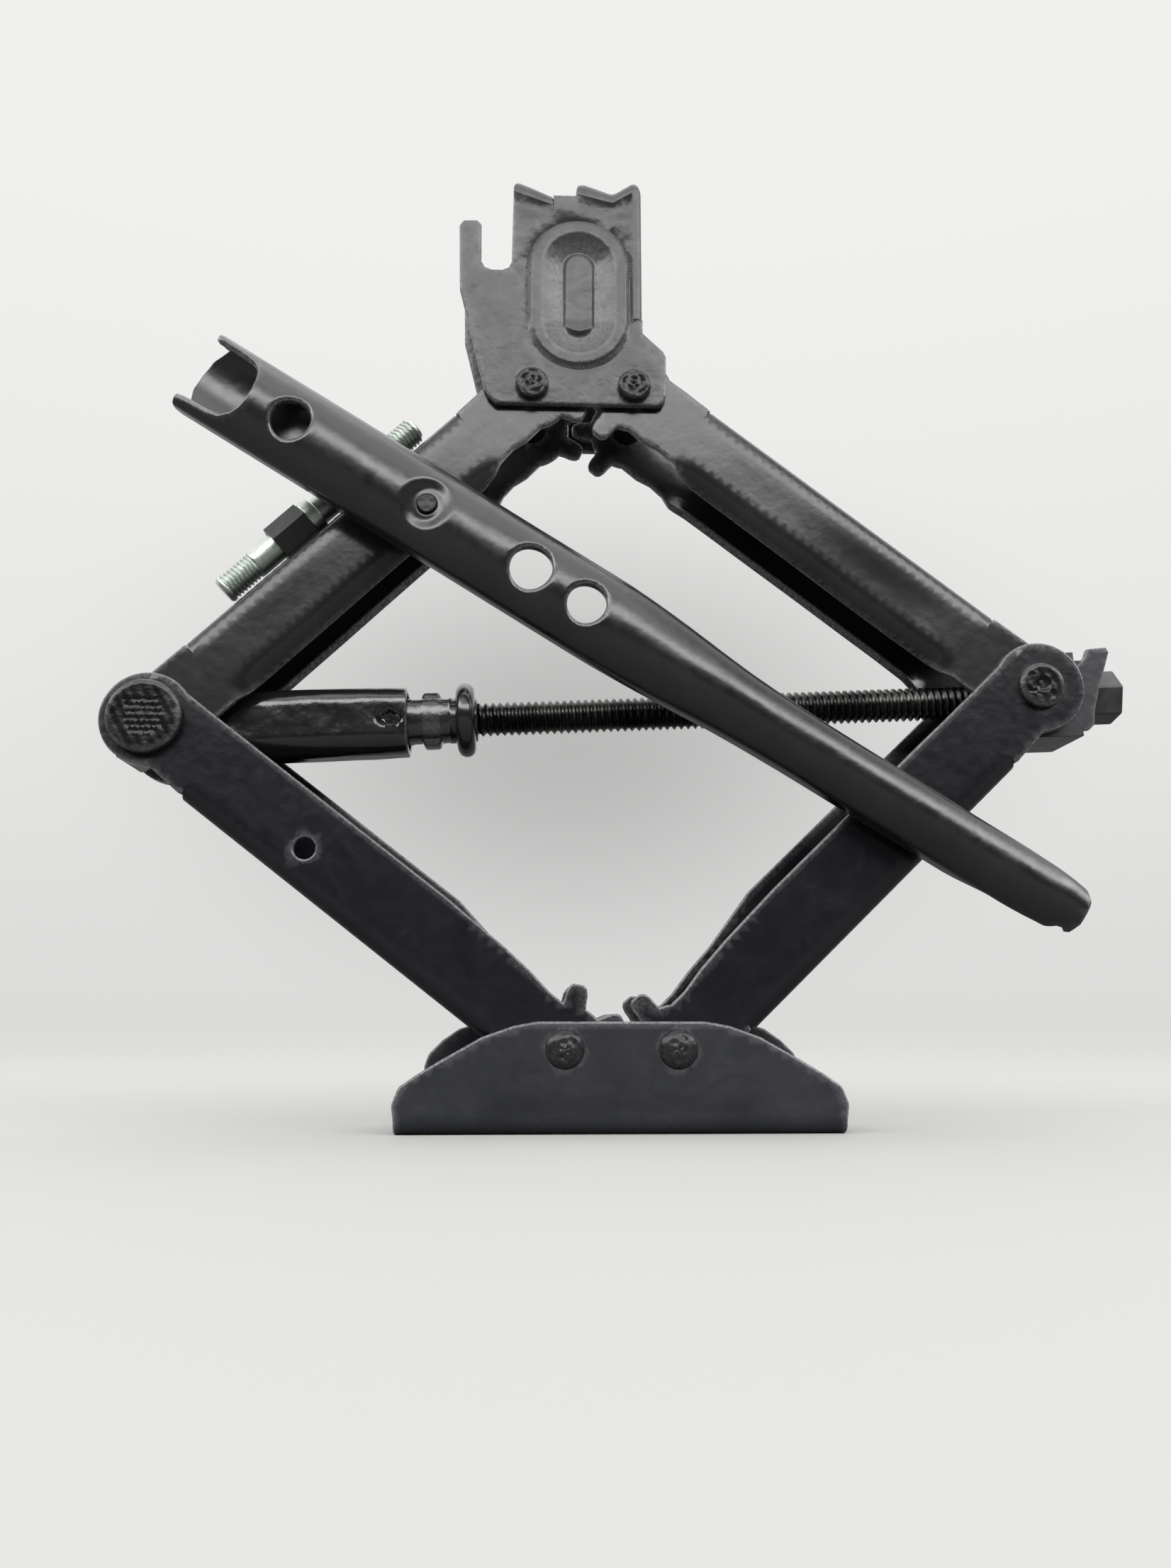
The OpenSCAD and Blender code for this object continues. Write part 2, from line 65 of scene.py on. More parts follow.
def maths(nt, kind, *values, family="Math", out=0, **kw):
    n = node(nt, "ShaderNode" + family, operation=kind, **kw)
    for socket, v in zip(n.inputs, values):
        feed(nt, socket, v)
    return n.outputs[out]


def scaled(nt, colour, by):
    return maths(nt, "SCALE", colour, family="VectorMath", Scale=by)


def mixed(nt, factor, a, b):
    return node(nt, "ShaderNodeMix", data_type="RGBA", Factor=factor, A=a, B=b).outputs["Result"]


def map_range(nt, value, start, end, to_start=0.0, to_end=1.0, **kw):
    limits = {"From Min": start, "From Max": end, "To Min": to_start, "To Max": to_end}
    return node(nt, "ShaderNodeMapRange", Value=value, **limits, **kw).outputs["Result"]


def ramp(nt, value, start, end, first, last):
    r = node(nt, "ShaderNodeValToRGB", Fac=value)
    for e, at, colour in zip(r.color_ramp.elements, (start, end), (first, last)):
        e.position, e.color = at, (*colour, 1)
    return r.outputs["Color"]


def noises(nt, *settings):
    """Noise textures in object coordinates, each from (scale, detail, roughness, distortion)."""
    at = node(nt, "ShaderNodeTexCoord").outputs["Object"]
    return [node(nt, "ShaderNodeTexNoise", Vector=at, Scale=s, Detail=d, Roughness=r, Distortion=w).outputs["Fac"]
            for s, d, r, w in settings]


def new_mat(name):
    m = bpy.data.materials.new(name)
    m.use_nodes = True
    return m, m.node_tree, m.node_tree.nodes["Principled BSDF"].inputs


def surface(nt, b, colour, rough, height, strength, distance):
    """Colour, roughness and relief of a Principled surface."""
    relief = node(nt, "ShaderNodeBump", Strength=strength, Distance=distance, Height=height).outputs["Normal"]
    for k, v in (("Base Color", colour), ("Roughness", rough), ("Normal", relief)):
        feed(nt, b[k], v)


def paint(name, dark, light, rough=0.42, spread=0.12, edge=(0.16, 0.16, 0.16), orange=0.25, spec=0.5):
    """Painted pressed steel: mottled colour, edges lighter for wear together with a painted edge highlight (vertex
    attribute 'edge'), and orange peel.
    """
    m, nt, b = new_mat(name)
    mottle, grit, peel, swirl = noises(nt, (28.0, 6.0, 0.62, 0.6), (900.0, 3.0, 0.6, 0.0),
                                       (260.0, 2.0, 0.45, 0.0), (95.0, 4.0, 0.55, 1.6))
    worn_and_lit_edge = node(nt, "ShaderNodeAttribute", attribute_name="edge").outputs["Fac"]
    # lighter edges: worn paint together with a painted edge highlight
    wear_and_highlight = maths(nt, "MULTIPLY", worn_and_lit_edge, maths(nt, "MULTIPLY_ADD", grit, 1.6, -0.35), use_clamp=True)
    surface(nt, b, mixed(nt, wear_and_highlight, ramp(nt, mottle, 0.34, 0.68, dark, light), (*edge, 1)),
            map_range(nt, swirl, 0.3, 0.7, rough - spread, rough + spread),
            maths(nt, "MULTIPLY_ADD", swirl, 0.55, peel), orange, 0.0006)
    b["Specular IOR Level"].default_value = spec
    return m


def metal(name, dark, light, rough=0.35, scale=300.0, metallic=1.0, relief=0.2):
    """Bare or plated steel: mottled colour over a fine grain."""
    m, nt, b = new_mat(name)
    grain, mottle = noises(nt, (scale, 5.0, 0.6, 0.0), (scale * 0.18, 4.0, 0.6, 0.8))
    surface(nt, b, ramp(nt, mottle, 0.35, 0.66, dark, light),
            map_range(nt, grain, 0.3, 0.7, rough - 0.08, rough + 0.12), grain, relief, 0.0004)
    b["Metallic"].default_value = metallic
    return m


# one black paint in several copies: the base, upper arms and head get lighter colours than the lower arms as painted
# light from above; each edge colour is worn paint together with a painted edge highlight
M = {
    "base_paint": paint("base_black_paint_painted_light", (0.0128, 0.0136, 0.0184), (0.0208, 0.0216, 0.0280),
                        rough=0.38, spread=0.05, edge=(0.26, 0.26, 0.27), orange=0.18),
    "lower_arm_paint": paint("lower_arm_satin_black", (0.0037, 0.0037, 0.0060), (0.0075, 0.0075, 0.0105),
                             rough=0.25, spread=0.03, edge=(0.24, 0.24, 0.25), orange=0.16),
    "upper_arm_paint": paint("upper_arm_black_paint_painted_light", (0.0098, 0.0098, 0.0107), (0.0180, 0.0180, 0.0189),
                             rough=0.21, spread=0.02, edge=(0.26, 0.26, 0.26), orange=0.09),
    "head_paint": paint("head_black_paint_painted_light", (0.0215, 0.0222, 0.0242), (0.0385, 0.0392, 0.0412),
                        rough=0.33, spread=0.06, edge=(0.24, 0.24, 0.24), orange=0.45),
    "handle_paint": paint("handle_semi_gloss", (0.005, 0.005, 0.006), (0.011, 0.011, 0.012),
                          spec=0.72, rough=0.25, spread=0.04, edge=(0.14, 0.14, 0.14), orange=0.14),
    "tube_paint": paint("tube_gloss_wrinkled", (0.006, 0.006, 0.007), (0.014, 0.014, 0.016),
                        spec=0.75, rough=0.17, spread=0.05, orange=0.26, edge=(0.12, 0.12, 0.12)),
    "rivet_steel": paint("rivet_satin_black", (0.0024, 0.0024, 0.0030), (0.0054, 0.0054, 0.0060),
                         spec=0.3, rough=0.26, spread=0.05, edge=(0.14, 0.14, 0.14), orange=0.5),
    "screw_steel": metal("screw_oiled", (0.024, 0.024, 0.024), (0.085, 0.083, 0.080), rough=0.28),
    "drive_steel": metal("drive_phosphated", (0.040, 0.040, 0.040), (0.085, 0.085, 0.085), rough=0.40, metallic=0.5),
    "clip_steel": metal("clip_blued", (0.03, 0.03, 0.032), (0.07, 0.07, 0.07)),
    "zinc": metal("zinc_bright", (0.40, 0.45, 0.41), (0.56, 0.60, 0.56), rough=0.34, scale=900.0, relief=0.05),
    "black_sleeve": paint("sleeve_matt_black", (0.004, 0.004, 0.005), (0.008, 0.008, 0.009), rough=0.34, spread=0.04),
}
slots = {s["node"]: s["material_slot"] for s in frame["record"]["subparts"]}
for n, o in frame["nodes"].items():
    o.data.materials.clear()
    o.data.materials.append(M[slots[n]])


# ---------- mesh tools ----------

def smooth01(x):
    x = np.clip(x, 0, 1)
    return x * x * (3 - 2 * x)


def place_mesh(name, me, angle=38, weighted=True):
    """Object of a mesh, shaded smooth across edges below that angle."""
    me.polygons.foreach_set("use_smooth", [True] * len(me.polygons))
    me.set_sharp_from_angle(angle=math.radians(angle))
    o = bpy.data.objects.new(name, me)
    bpy.context.scene.collection.objects.link(o)
    if weighted:
        o.modifiers.new("weighted", "WEIGHTED_NORMAL").keep_sharp = True
    return o


def add_object(name, co, faces, edge=None, angle=38, weighted=True):
    """Mesh from points in mm and faces, with outward normals and the 'edge' attribute of wear and painted edge
    highlight.
    """
    me = bpy.data.meshes.new(name)
    me.from_pydata((np.asarray(co) * MM).tolist(), [], [list(map(int, f)) for f in faces])
    if edge is not None:
        at = me.attributes.new("edge", "FLOAT", "POINT")
        at.data.foreach_set("value", np.asarray(edge, np.float32))
    bm = bmesh.new()
    bm.from_mesh(me)
    bmesh.ops.recalc_face_normals(bm, faces=bm.faces)
    bm.to_mesh(me)
    bm.free()
    return place_mesh(name, me, angle, weighted)


def finish_piece(o, body, slot, *nodes):
    """Gives a piece its finish, its body and the CAD nodes it stands for."""
    o.data.materials.clear()
    o.data.materials.append(M[slot])
    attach(o, body)
    if nodes:
        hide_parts(*nodes)


def area2(p):
    return 0.5 * float((p[:, 0] * np.roll(p[:, 1], -1) - np.roll(p[:, 0], -1) * p[:, 1]).sum())


def split_edges(p, step, rounding=math.ceil):
    """Closed polygon with its edges divided into equal parts of about one step."""
    out = []
    for a, b in zip(p, np.roll(p, -1, 0)):
        k = max(1, int(rounding(np.linalg.norm(b - a) / step)))
        out += [a + (b - a) * j / k for j in range(k)]
    return np.array(out)


def tidy_loop(p, step, ccw):
    """Loop without doubled points, turning the asked way, with its edges divided."""
    p = np.asarray(p, float)
    p = p[np.linalg.norm(p - np.roll(p, 1, 0), axis=1) > 0.03]
    return split_edges(p if (area2(p) > 0) == ccw else p[::-1], step)


def fillet(pts, radii, n=4):
    """Rounds the corners of a closed polygon; radii is one number or one per point."""
    p = np.asarray(pts, float)
    m = len(p)
    rr = [radii] * m if np.isscalar(radii) else radii
    out = []
    for i in range(m):
        a, b, c = p[i - 1], p[i], p[(i + 1) % m]
        u, v = a - b, c - b
        lu, lv = np.linalg.norm(u), np.linalg.norm(v)
        u, v = u / lu, v / lv
        ang = math.acos(max(-1, min(1, float(u @ v))))
        if rr[i] <= 0 or ang > math.radians(176):
            out.append(b)
            continue
        d = min(rr[i] / math.tan(ang / 2), 0.48 * lu, 0.48 * lv)
        A, C = b + u * d, b + v * d
        for k in range(n + 1):
            t = k / n
            out.append((1 - t) ** 2 * A + 2 * t * (1 - t) * b + t * t * C)
    return np.array(out)


def circle_pts(c, r, n=40):
    a = np.arange(n) * 2 * math.pi / n
    return np.c_[c[0] + r * np.cos(a), c[1] + r * np.sin(a)]


def miter(p):
    e = np.roll(p, -1, 0) - p
    e /= np.linalg.norm(e, axis=1)[:, None]
    n = np.c_[e[:, 1], -e[:, 0]]
    m = n + np.roll(n, 1, 0)
    return m / np.maximum((m * m).sum(1) / 2, 0.4)[:, None]


def inside(q, loops):
    hit = np.zeros(len(q), bool)
    for p in loops:
        a, b = p, np.roll(p, -1, 0)
        for s in range(0, len(q), 4000):
            x, y = q[s:s + 4000, 0][:, None], q[s:s + 4000, 1][:, None]
            cross = (a[None, :, 1] > y) != (b[None, :, 1] > y)
            with np.errstate(divide="ignore", invalid="ignore"):
                xi = a[None, :, 0] + (y - a[None, :, 1]) * (b[:, 0] - a[:, 0])[None] / (b[:, 1] - a[:, 1])[None]
            hit[s:s + 4000] ^= (np.sum(cross & (x < xi), axis=1) % 2).astype(bool)
    return hit


def near(q, p, d):
    out = np.zeros(len(q), bool)
    for s in range(0, len(q), 2000):
        out[s:s + 2000] = (((q[s:s + 2000, None, :] - p[None]) ** 2).sum(2) < d * d).any(1)
    return out


def sheet_mesh(name, outer, holes, thick, mapping, grid, r, step=1.3, gap=0.7, flush=None, wear_and_highlight=None):
    """Pressed sheet: a flat blank with rounded edges, holes and a grid of inner points, put in place by
    mapping(blank points, offset from the middle of the sheet)."""
    segs = 3
    loops = [tidy_loop(outer, step, True)] + [tidy_loop(h, step * 0.8, False) for h in holes]
    P, W, E, rings, total = [], [], [], [], 0
    for p in loops:
        m, rp, ids = miter(p), np.full(len(p), float(r)), []
        if flush is not None:
            rp = np.where(flush(p), 0.02, rp)
        for side in (1, -1):
            for k in range(segs + 1):
                a = math.pi / 2 * k / segs
                ids.append(total + np.arange(len(p)))
                total += len(p)
                P.append(p - m * (rp * (1 - math.sin(a)))[:, None])
                W.append(side * (thick / 2 - rp * (1 - math.cos(a))))
                # rounded rim: edge wear together with a painted edge highlight
                E.append(np.where(rp < 0.1, 0.0, 0.35 if k == 0 else 1.0))
        rings.append(ids)
    caps = [P[i * 2 * (segs + 1)] for i in range(len(loops))]
    edge_pts = np.concatenate(caps)
    grid = np.asarray(grid, float)
    grid = grid[inside(grid, caps)]
    pts = np.concatenate([edge_pts, grid[~near(grid, edge_pts, gap)]])
    edges, base = [], 0
    for c in caps:
        n = len(c)
        edges += [(base + i, base + (i + 1) % n) for i in range(n)]
        base += n
    vs, _, fs, ov, _, _ = geometry.delaunay_2d_cdt([Vector(p) for p in pts], edges, [], 0, 1e-7)
    vs = np.array([tuple(v) for v in vs])
    tris = np.array([f for f in fs if len(f) == 3])
    tris = tris[inside(vs[tris].mean(1), caps)]
    fronts, backs = (np.concatenate([ids[k] for ids in rings]) for k in (0, segs + 1))
    f_id, b_id = [], []
    for v, src in zip(vs, ov):
        if src and src[0] < len(fronts):
            f_id.append(fronts[src[0]])
            b_id.append(backs[src[0]])
        else:
            f_id.append(total)
            b_id.append(total + 1)
            total += 2
            P.append(np.array([v, v]))
            W.append(np.array([thick / 2, -thick / 2]))
            E.append(np.zeros(2))
    faces = [(f_id[a], f_id[b], f_id[c]) for a, b, c in tris] + [(b_id[c], b_id[b], b_id[a]) for a, b, c in tris]
    for ids in rings:
        order = ids[:segs + 1] + ids[segs + 1:][::-1]
        for A, B in zip(order[:-1], order[1:]):
            n = len(A)
            faces += [(A[i], A[(i + 1) % n], B[(i + 1) % n], B[i]) for i in range(n)]
    P, W, E = map(np.concatenate, (P, W, E))
    # extra marks from the caller: wear and painted highlight on the front side
    if wear_and_highlight is not None:
        E = np.maximum(E, wear_and_highlight(P) * (W > 0))
    return add_object(name, mapping(P, W), faces, E)


def tube(name, rows, edge, angle=38, ends=None):
    """Skin over rows of equal length, each a closed ring of points with its wear and painted edge highlight."""
    m, n = len(rows), len(rows[0])
    faces = []
    for i in range(m - 1):
        faces += [(i * n + j, i * n + (j + 1) % n, (i + 1) * n + (j + 1) % n, (i + 1) * n + j) for j in range(n)]
    faces += [(m * n, (j + 1) % n, j) for j in range(n)]
    faces += [(m * n + 1, (m - 1) * n + j, (m - 1) * n + (j + 1) % n) for j in range(n)]
    co = np.vstack([*rows, *((rows[0].mean(0), rows[-1].mean(0)) if ends is None else ends)])
    return add_object(name, co, faces, np.concatenate([np.broadcast_to(e, n) for e in edge] + [np.zeros(2)]), angle)


def lathe(name, profile, place, seg=64, edge=None, ripple=None):
    """Turned piece: profile of (radius, along), closed on the axis at both ends, put in place by place(points)."""
    ang = np.arange(seg) * 2 * math.pi / seg
    k = 1 + (ripple(ang) if ripple else 0 * ang)
    rows = [place(np.c_[rad * k * np.cos(ang), rad * k * np.sin(ang), np.full(seg, al)]) for rad, al in profile]
    ends = place(np.array([(0, 0, profile[0][1]), (0, 0, profile[-1][1])], float))
    return tube(name, rows, edge or [0] * len(rows), ends=ends)


def soften(name, body, width):
    """A CAD shape kept, with its sharp edges rounded, in a new piece of its own."""
    me = frame["nodes"][name].data.copy()
    bm = bmesh.new()
    bm.from_mesh(me)
    bmesh.ops.remove_doubles(bm, verts=bm.verts, dist=1e-6)
    bmesh.ops.dissolve_limit(bm, angle_limit=math.radians(0.6), verts=bm.verts, edges=bm.edges)
    lay = bm.verts.layers.float.new("edge")
    sharp = [e for e in bm.edges if len(e.link_faces) == 2 and e.calc_face_angle(0) > math.radians(32)]
    res = bmesh.ops.bevel(bm, geom=sharp, offset=width * MM, segments=3, profile=0.5, affect="EDGES",
                          clamp_overlap=True)
    # bevels: a little edge wear and painted edge highlight
    for v in res["verts"]:
        v[lay] = 0.06
    bmesh.ops.triangulate(bm, faces=[f for f in bm.faces if len(f.verts) > 4])
    bm.to_mesh(me)
    bm.free()
    finish_piece(place_mesh(name + "_piece", me), body, slots[name], name)


def face_loops(name, y):
    """Outlines in the X-Z plane, in mm, of a CAD node's flat face at that Y: the outer loop first, then holes."""
    me = frame["nodes"][name].data
    co = np.array([v.co for v in me.vertices]) * 1000
    key = {}
    ids = [key.setdefault(tuple(np.round(c, 3)), len(key)) for c in co]
    pos = dict(zip(ids, co))
    used = {}
    for f in me.polygons:
        if np.all(np.abs(co[list(f.vertices), 1] - y) < 0.01):
            v = [ids[i] for i in f.vertices]
            used.update({(a, b): True for a, b in zip(v, v[1:] + v[:1]) if a != b})
    nxt = {}
    for a, b in used:
        if (b, a) not in used:
            nxt.setdefault(a, []).append(b)
    loops = []
    while nxt:
        start = cur = next(iter(nxt))
        loop = []
        while not loop or cur != start:
            loop.append(cur)
            to = nxt[cur].pop()
            if not nxt[cur]:
                del nxt[cur]
            cur = to
        loops.append(np.array([[pos[i][0], pos[i][2]] for i in loop]))
    return sorted(loops, key=lambda p: -abs(area2(p)))


# ---------- arms: a C of pressed sheet, drawn as a flat blank and then bent ----------
ARM, GAP, PINZ = 176.0, 18.1, 26.4
STEEP, SHALLOW = math.radians(43.86), math.radians(37.74)
BL, BR = np.array([-GAP, PINZ]), np.array([GAP, PINZ])
UP_LEFT = np.array([-math.cos(SHALLOW), math.sin(SHALLOW)])
UP_RIGHT = np.array([math.cos(STEEP), math.sin(STEEP)])
TL, TR = BL + ARM * UP_LEFT, BR + ARM * UP_RIGHT
HL, HR = TL + ARM * UP_RIGHT, TR + ARM * UP_LEFT
HEAD = (HL + HR) / 2
TILT = math.atan2(TR[1] - TL[1], TR[0] - TL[0])
BEND, SHEET = 4.5, 3.0                  # outer radius and thickness of the arms' bends
LOWER_HALF, UPPER_HALF, BASE_HALF = 20.4, 17.0, 23.8      # half widths over the walls


def make_arm(name, body, pin, d, upper):
    """Arm that rises from its pin in direction d; n points from its pins' line to its web."""
    n = np.array((d[1], -d[0])) * (1 if (d[0] > 0) != upper else -1)
    half, web = (UPPER_HALF, 12.8) if upper else (LOWER_HALF, 13.5)
    a, rm = half - BEND, BEND - SHEET / 2
    arc, tb = math.pi / 2 * rm, web - BEND     # the blank runs from the middle of the web, q = 0
    to_q = lambda t: a + arc + (tb - t)
    sides, holes, lim = [], [], []
    for sg in (-1, 1):
        loops = face_loops(name, sg * half)
        st = [np.c_[(p - pin) @ d, (p - pin) @ n] for p in loops]
        p = st[0]
        e = np.roll(p, -1, 0) - p
        flat = (np.abs(e[:, 1]) < 0.02) & (np.abs(p[:, 1] - tb) < 0.8)
        i = int(np.argmax(np.abs(e[:, 0]) * flat))
        q = np.roll(p, -(i + 1), 0)          # starts at the far end of the bend edge
        if q[0, 0] < q[-1, 0]:
            q = q[::-1]
        s1, s0 = q[0, 0], q[-1, 0]
        lim.append((s0, s1))
        if upper:
            mid = (q[:, 0] > s0 + 1.2) & (q[:, 0] < s1 - 1.2) & (q[:, 1] < 0)
            k = np.where(mid)[0]
            lo, hi = q[:k[0]], q[k[-1] + 1:]
            full = [(s1 - 5, -14.2), (s1 - 12, -15.2), (s0 + 12, -15.3), (s0 + 4, -15.2)]
            q = np.vstack([lo, full, hi])
        # the ears rise close to the web, with a narrow relief slit at each end of the bend
        q = q[(q[:, 0] > s1 + 5) | (q[:, 0] < s0 - 5) | (q[:, 1] < 5)]
        q = np.vstack([[(s1, tb - 0.6), (s1 + 0.12, tb - 0.6), (s1 + 0.12, web - 1.2), (s1 + 1.2, web - 0.9)], q,
                       [(s0 - 1.2, web - 0.9), (s0 - 0.12, web - 1.2), (s0 - 0.12, tb - 0.6), (s0, tb - 0.6)]])
        sides.append(np.c_[q[:, 0], sg * to_q(q[:, 1])])
        holes += [np.c_[h[:, 0], sg * to_q(h[:, 1])] for h in st[1:]]
    s0, s1 = lim[0]
    outer = np.vstack([sides[0], sides[1][::-1]])

    def mapping(P, w):
        s, q = P[:, 0], P[:, 1]
        aq, sg = np.abs(q), np.where(q < 0, -1.0, 1.0)
        t = tb - (aq - a - arc)
        y = half - SHEET / 2 + w
        if upper:
            # free edge rolled inwards along the channel, flat again at both ends
            k = smooth01((s - s0 + 2) / 14) * smooth01((s1 + 1 - s) / 14)
            ell = np.clip(-7.5 - t, 0, None)
            kap = np.maximum(k / 7.5, 1e-6)
            ph = kap * ell
            t_l = -7.5 - np.sin(ph) / kap - w * np.sin(ph)
            y_l = half - SHEET / 2 - (1 - np.cos(ph)) / kap + w * np.cos(ph)
            t = np.where(ell > 0, t_l, t)
            y = np.where(ell > 0, y_l, y)
        chan = (s > s0 - 0.01) & (s < s1 + 0.01)
        th = (aq - a) / rm
        inb = chan & (aq > a) & (aq < a + arc)
        inw = chan & (aq <= a)
        y = np.where(inb, a + (rm + w) * np.sin(th), y)
        t = np.where(inb, tb + (rm + w) * np.cos(th), t)
        y = np.where(inw, aq, y)
        t = np.where(inw, web - SHEET / 2 + w, t)
        mid = smooth01((s - s0 - 8) / 20) * smooth01((s1 - 8 - s) / 20)
        lean = 0.5 * smooth01((128 - s) / 60) if name == "upper_right_arm" else 0
        wob = 0.10 * np.sin(s / 17.0 + sg) + 0.07 * np.sin(s / 7.3 + 2.1 * sg)
        y = y - np.where(aq > a + arc, mid * (0.12 + lean + wob) * smooth01((aq - a - arc) / 12), 0)
        t = t - np.where(aq <= a, mid * 0.18 * (1 - (aq / a) ** 2), 0)
        xz = pin + np.outer(s, d) + np.outer(t, n)
        return np.c_[xz[:, 0], sg * y, xz[:, 1]]

    qs = [*np.arange(0, a, 4.0), *(a + arc * np.arange(0, 6) / 5), *np.arange(a + arc + 3, a + arc + 24, 2.6)]
    if upper:
        qs += [to_q(-7.5) + x for x in (0, 1.3, 2.6, 3.9, 5.2, 6.5)]
    ss = np.arange(-20, 200, 4.0)
    grid = [(s + (1.3 if i % 2 else 0), sg * q) for i, q in enumerate(sorted(qs)) for s in ss for sg in (-1, 1)]

    def slit(p):
        aq = np.abs(p[:, 1])
        return ((np.abs(p[:, 0] - s1) < 0.6) | (np.abs(p[:, 0] - s0) < 0.6)) & (aq > a + 0.55 * arc) & (aq < to_q(5))
    o = sheet_mesh(name + "_piece", outer, holes, SHEET, mapping, grid, r=0.7, flush=slit)
    finish_piece(o, body, slots[name], name)


make_arm("lower_left_arm", "left_lower", BL, UP_LEFT, False)
make_arm("lower_right_arm", "right_lower", BR, UP_RIGHT, False)
make_arm("upper_left_arm", "left_upper", TL, UP_RIGHT, True)
make_arm("upper_right_arm", "right_upper", TR, UP_LEFT, True)


# ---------- head: two pressed walls, a bent side and two bent top sheets ----------
# points are (x, z) from the middle between the two head pins
HEAD_HALF, HEAD_R, RIGHT_R = LOWER_HALF, 5.0, 3.2
right_top, right_low = 77.2, 26.0
outline_left = [(-30.8, -6.7), (-33.6, -3.8), (-35.2, -0.1), (-44.2, 37.4), (-44.7, 62.3), (-43.2, 64.4),
                (-38.4, 64.5), (-36.8, 63), (-36.7, 48.4), (-35.4, 46), (-32.8, 45), (-29, 45), (-26.8, 46),
                (-25.7, 48.4)]
outline_right = [(21.4, 21.3), (28.7, 14.3), (29.6, 12.2), (29.5, -2.8), (28.2, -5.8), (26.6, -6.7)]
# each top lip, and the line where its bend starts
lip_left = np.array([(-25.3, 80.0), (-24.8, 81.3), (-23.5, 81.7), (-18, 79.4), (-12.8, 76.9), (-11.2, 76.2),
                     (-10.7, 75.6)])
seam_left = np.array([(-25.3, 76.4), (-10.7, 71.2)])
lip_right = np.array([(-2.4, 80.0), (-1.7, 81.3), (0.2, 81.7), (5, 80.0), (9.3, 78.3), (10.8, 78.0), (12.3, 78.6),
                      (15, 80.4), (17.6, 82.2), (19.2, 82.5), (20.5, 81.8), (21.3, 80.0)])
seam_right = np.array([(-2.4, 75.9), (10.8, 72.6), (18.1, 77.2), (21.3, 77.2)])
# where the walls join the bent strips
joins = [[tuple(q) for q in seam_left] + [(-10.7, 75.2)],
         [tuple(q) for q in seam_right[:3]] + [(18.1, right_low), (21.35, right_low)]]
EMBLEM, RING, BAR = np.array((-1.5, 36.0)), (36, 58), (12, 34)


def head_outline():
    pts = outline_left + joins[0] + [(-10.2, 75.4), (-3.8, 75.4), (-2.8, 75.5)] + joins[1] + outline_right
    return fillet(pts, [0 if q in joins[0] + joins[1] else 1.2 for q in pts])


def on_join(p):
    hit = np.zeros(len(p), bool)
    for path in joins:
        for a, b in zip(np.array(path), np.array(path[1:])):
            length = np.linalg.norm(b - a)
            u = (b - a) / length
            al, ac = (p - a) @ u, (p - a) @ np.array([-u[1], u[0]])
            hit |= (np.abs(ac) < 0.05) & (al > -0.05) & (al < length + 0.05)
    return hit


def obround_dist(P, w, h):
    """Distance to an obround's outline around the emblem's middle, below zero inside."""
    x, z = P[:, 0] - EMBLEM[0], P[:, 1] - EMBLEM[1]
    return np.hypot(x, z - np.clip(z, -(h - w) / 2, (h - w) / 2)) - w / 2


def obround_points(w, straight, step):
    """Points about a step apart along an obround's outline around the emblem's middle."""
    r = w / 2
    half = math.pi * r + straight
    n = int(2 * half / step)
    out = []
    for s in np.arange(n) / n * 2 * half:
        sign, s = (1, s) if s < half else (-1, s - half)
        t = max(0.0, s - straight) / r
        out.append(EMBLEM + sign * np.array((r * math.cos(t), min(s, straight) - straight / 2 + r * math.sin(t))))
    return out


def emboss(P):
    """Height of the pressed ring and its bar."""
    d = obround_dist(P, *RING)
    low = 1 - smooth01((P[:, 1] - 20) / 6)   # shallower where the arms' toothed ends pass behind
    ring = 1.15 * smooth01(-d / 1.4) - (2.9 - 1.5 * low) * smooth01((-d - 5.4) / 2.2)
    groove = (1.2 - 1.0 * low) * np.exp(-((d - 1.0) / 1.1) ** 2)
    bar = 1.5 * smooth01(-obround_dist(P, *BAR) / 1.8)
    return (ring - groove + bar) * smooth01((18.0 - P[:, 0]) / 1.4)


# painted highlight: light lines along the pressed ring's slopes and around the bar
def emblem_painted_highlight(P):
    d, e = obround_dist(P, *RING), obround_dist(P, *BAR)
    line = np.exp(-((d + 0.4) / 0.5) ** 2) + 0.6 * np.exp(-((d + 5.2) / 0.6) ** 2) + np.exp(-((e - 0.2) / 0.5) ** 2)
    return 0.8 * np.clip(line, 0, 1)


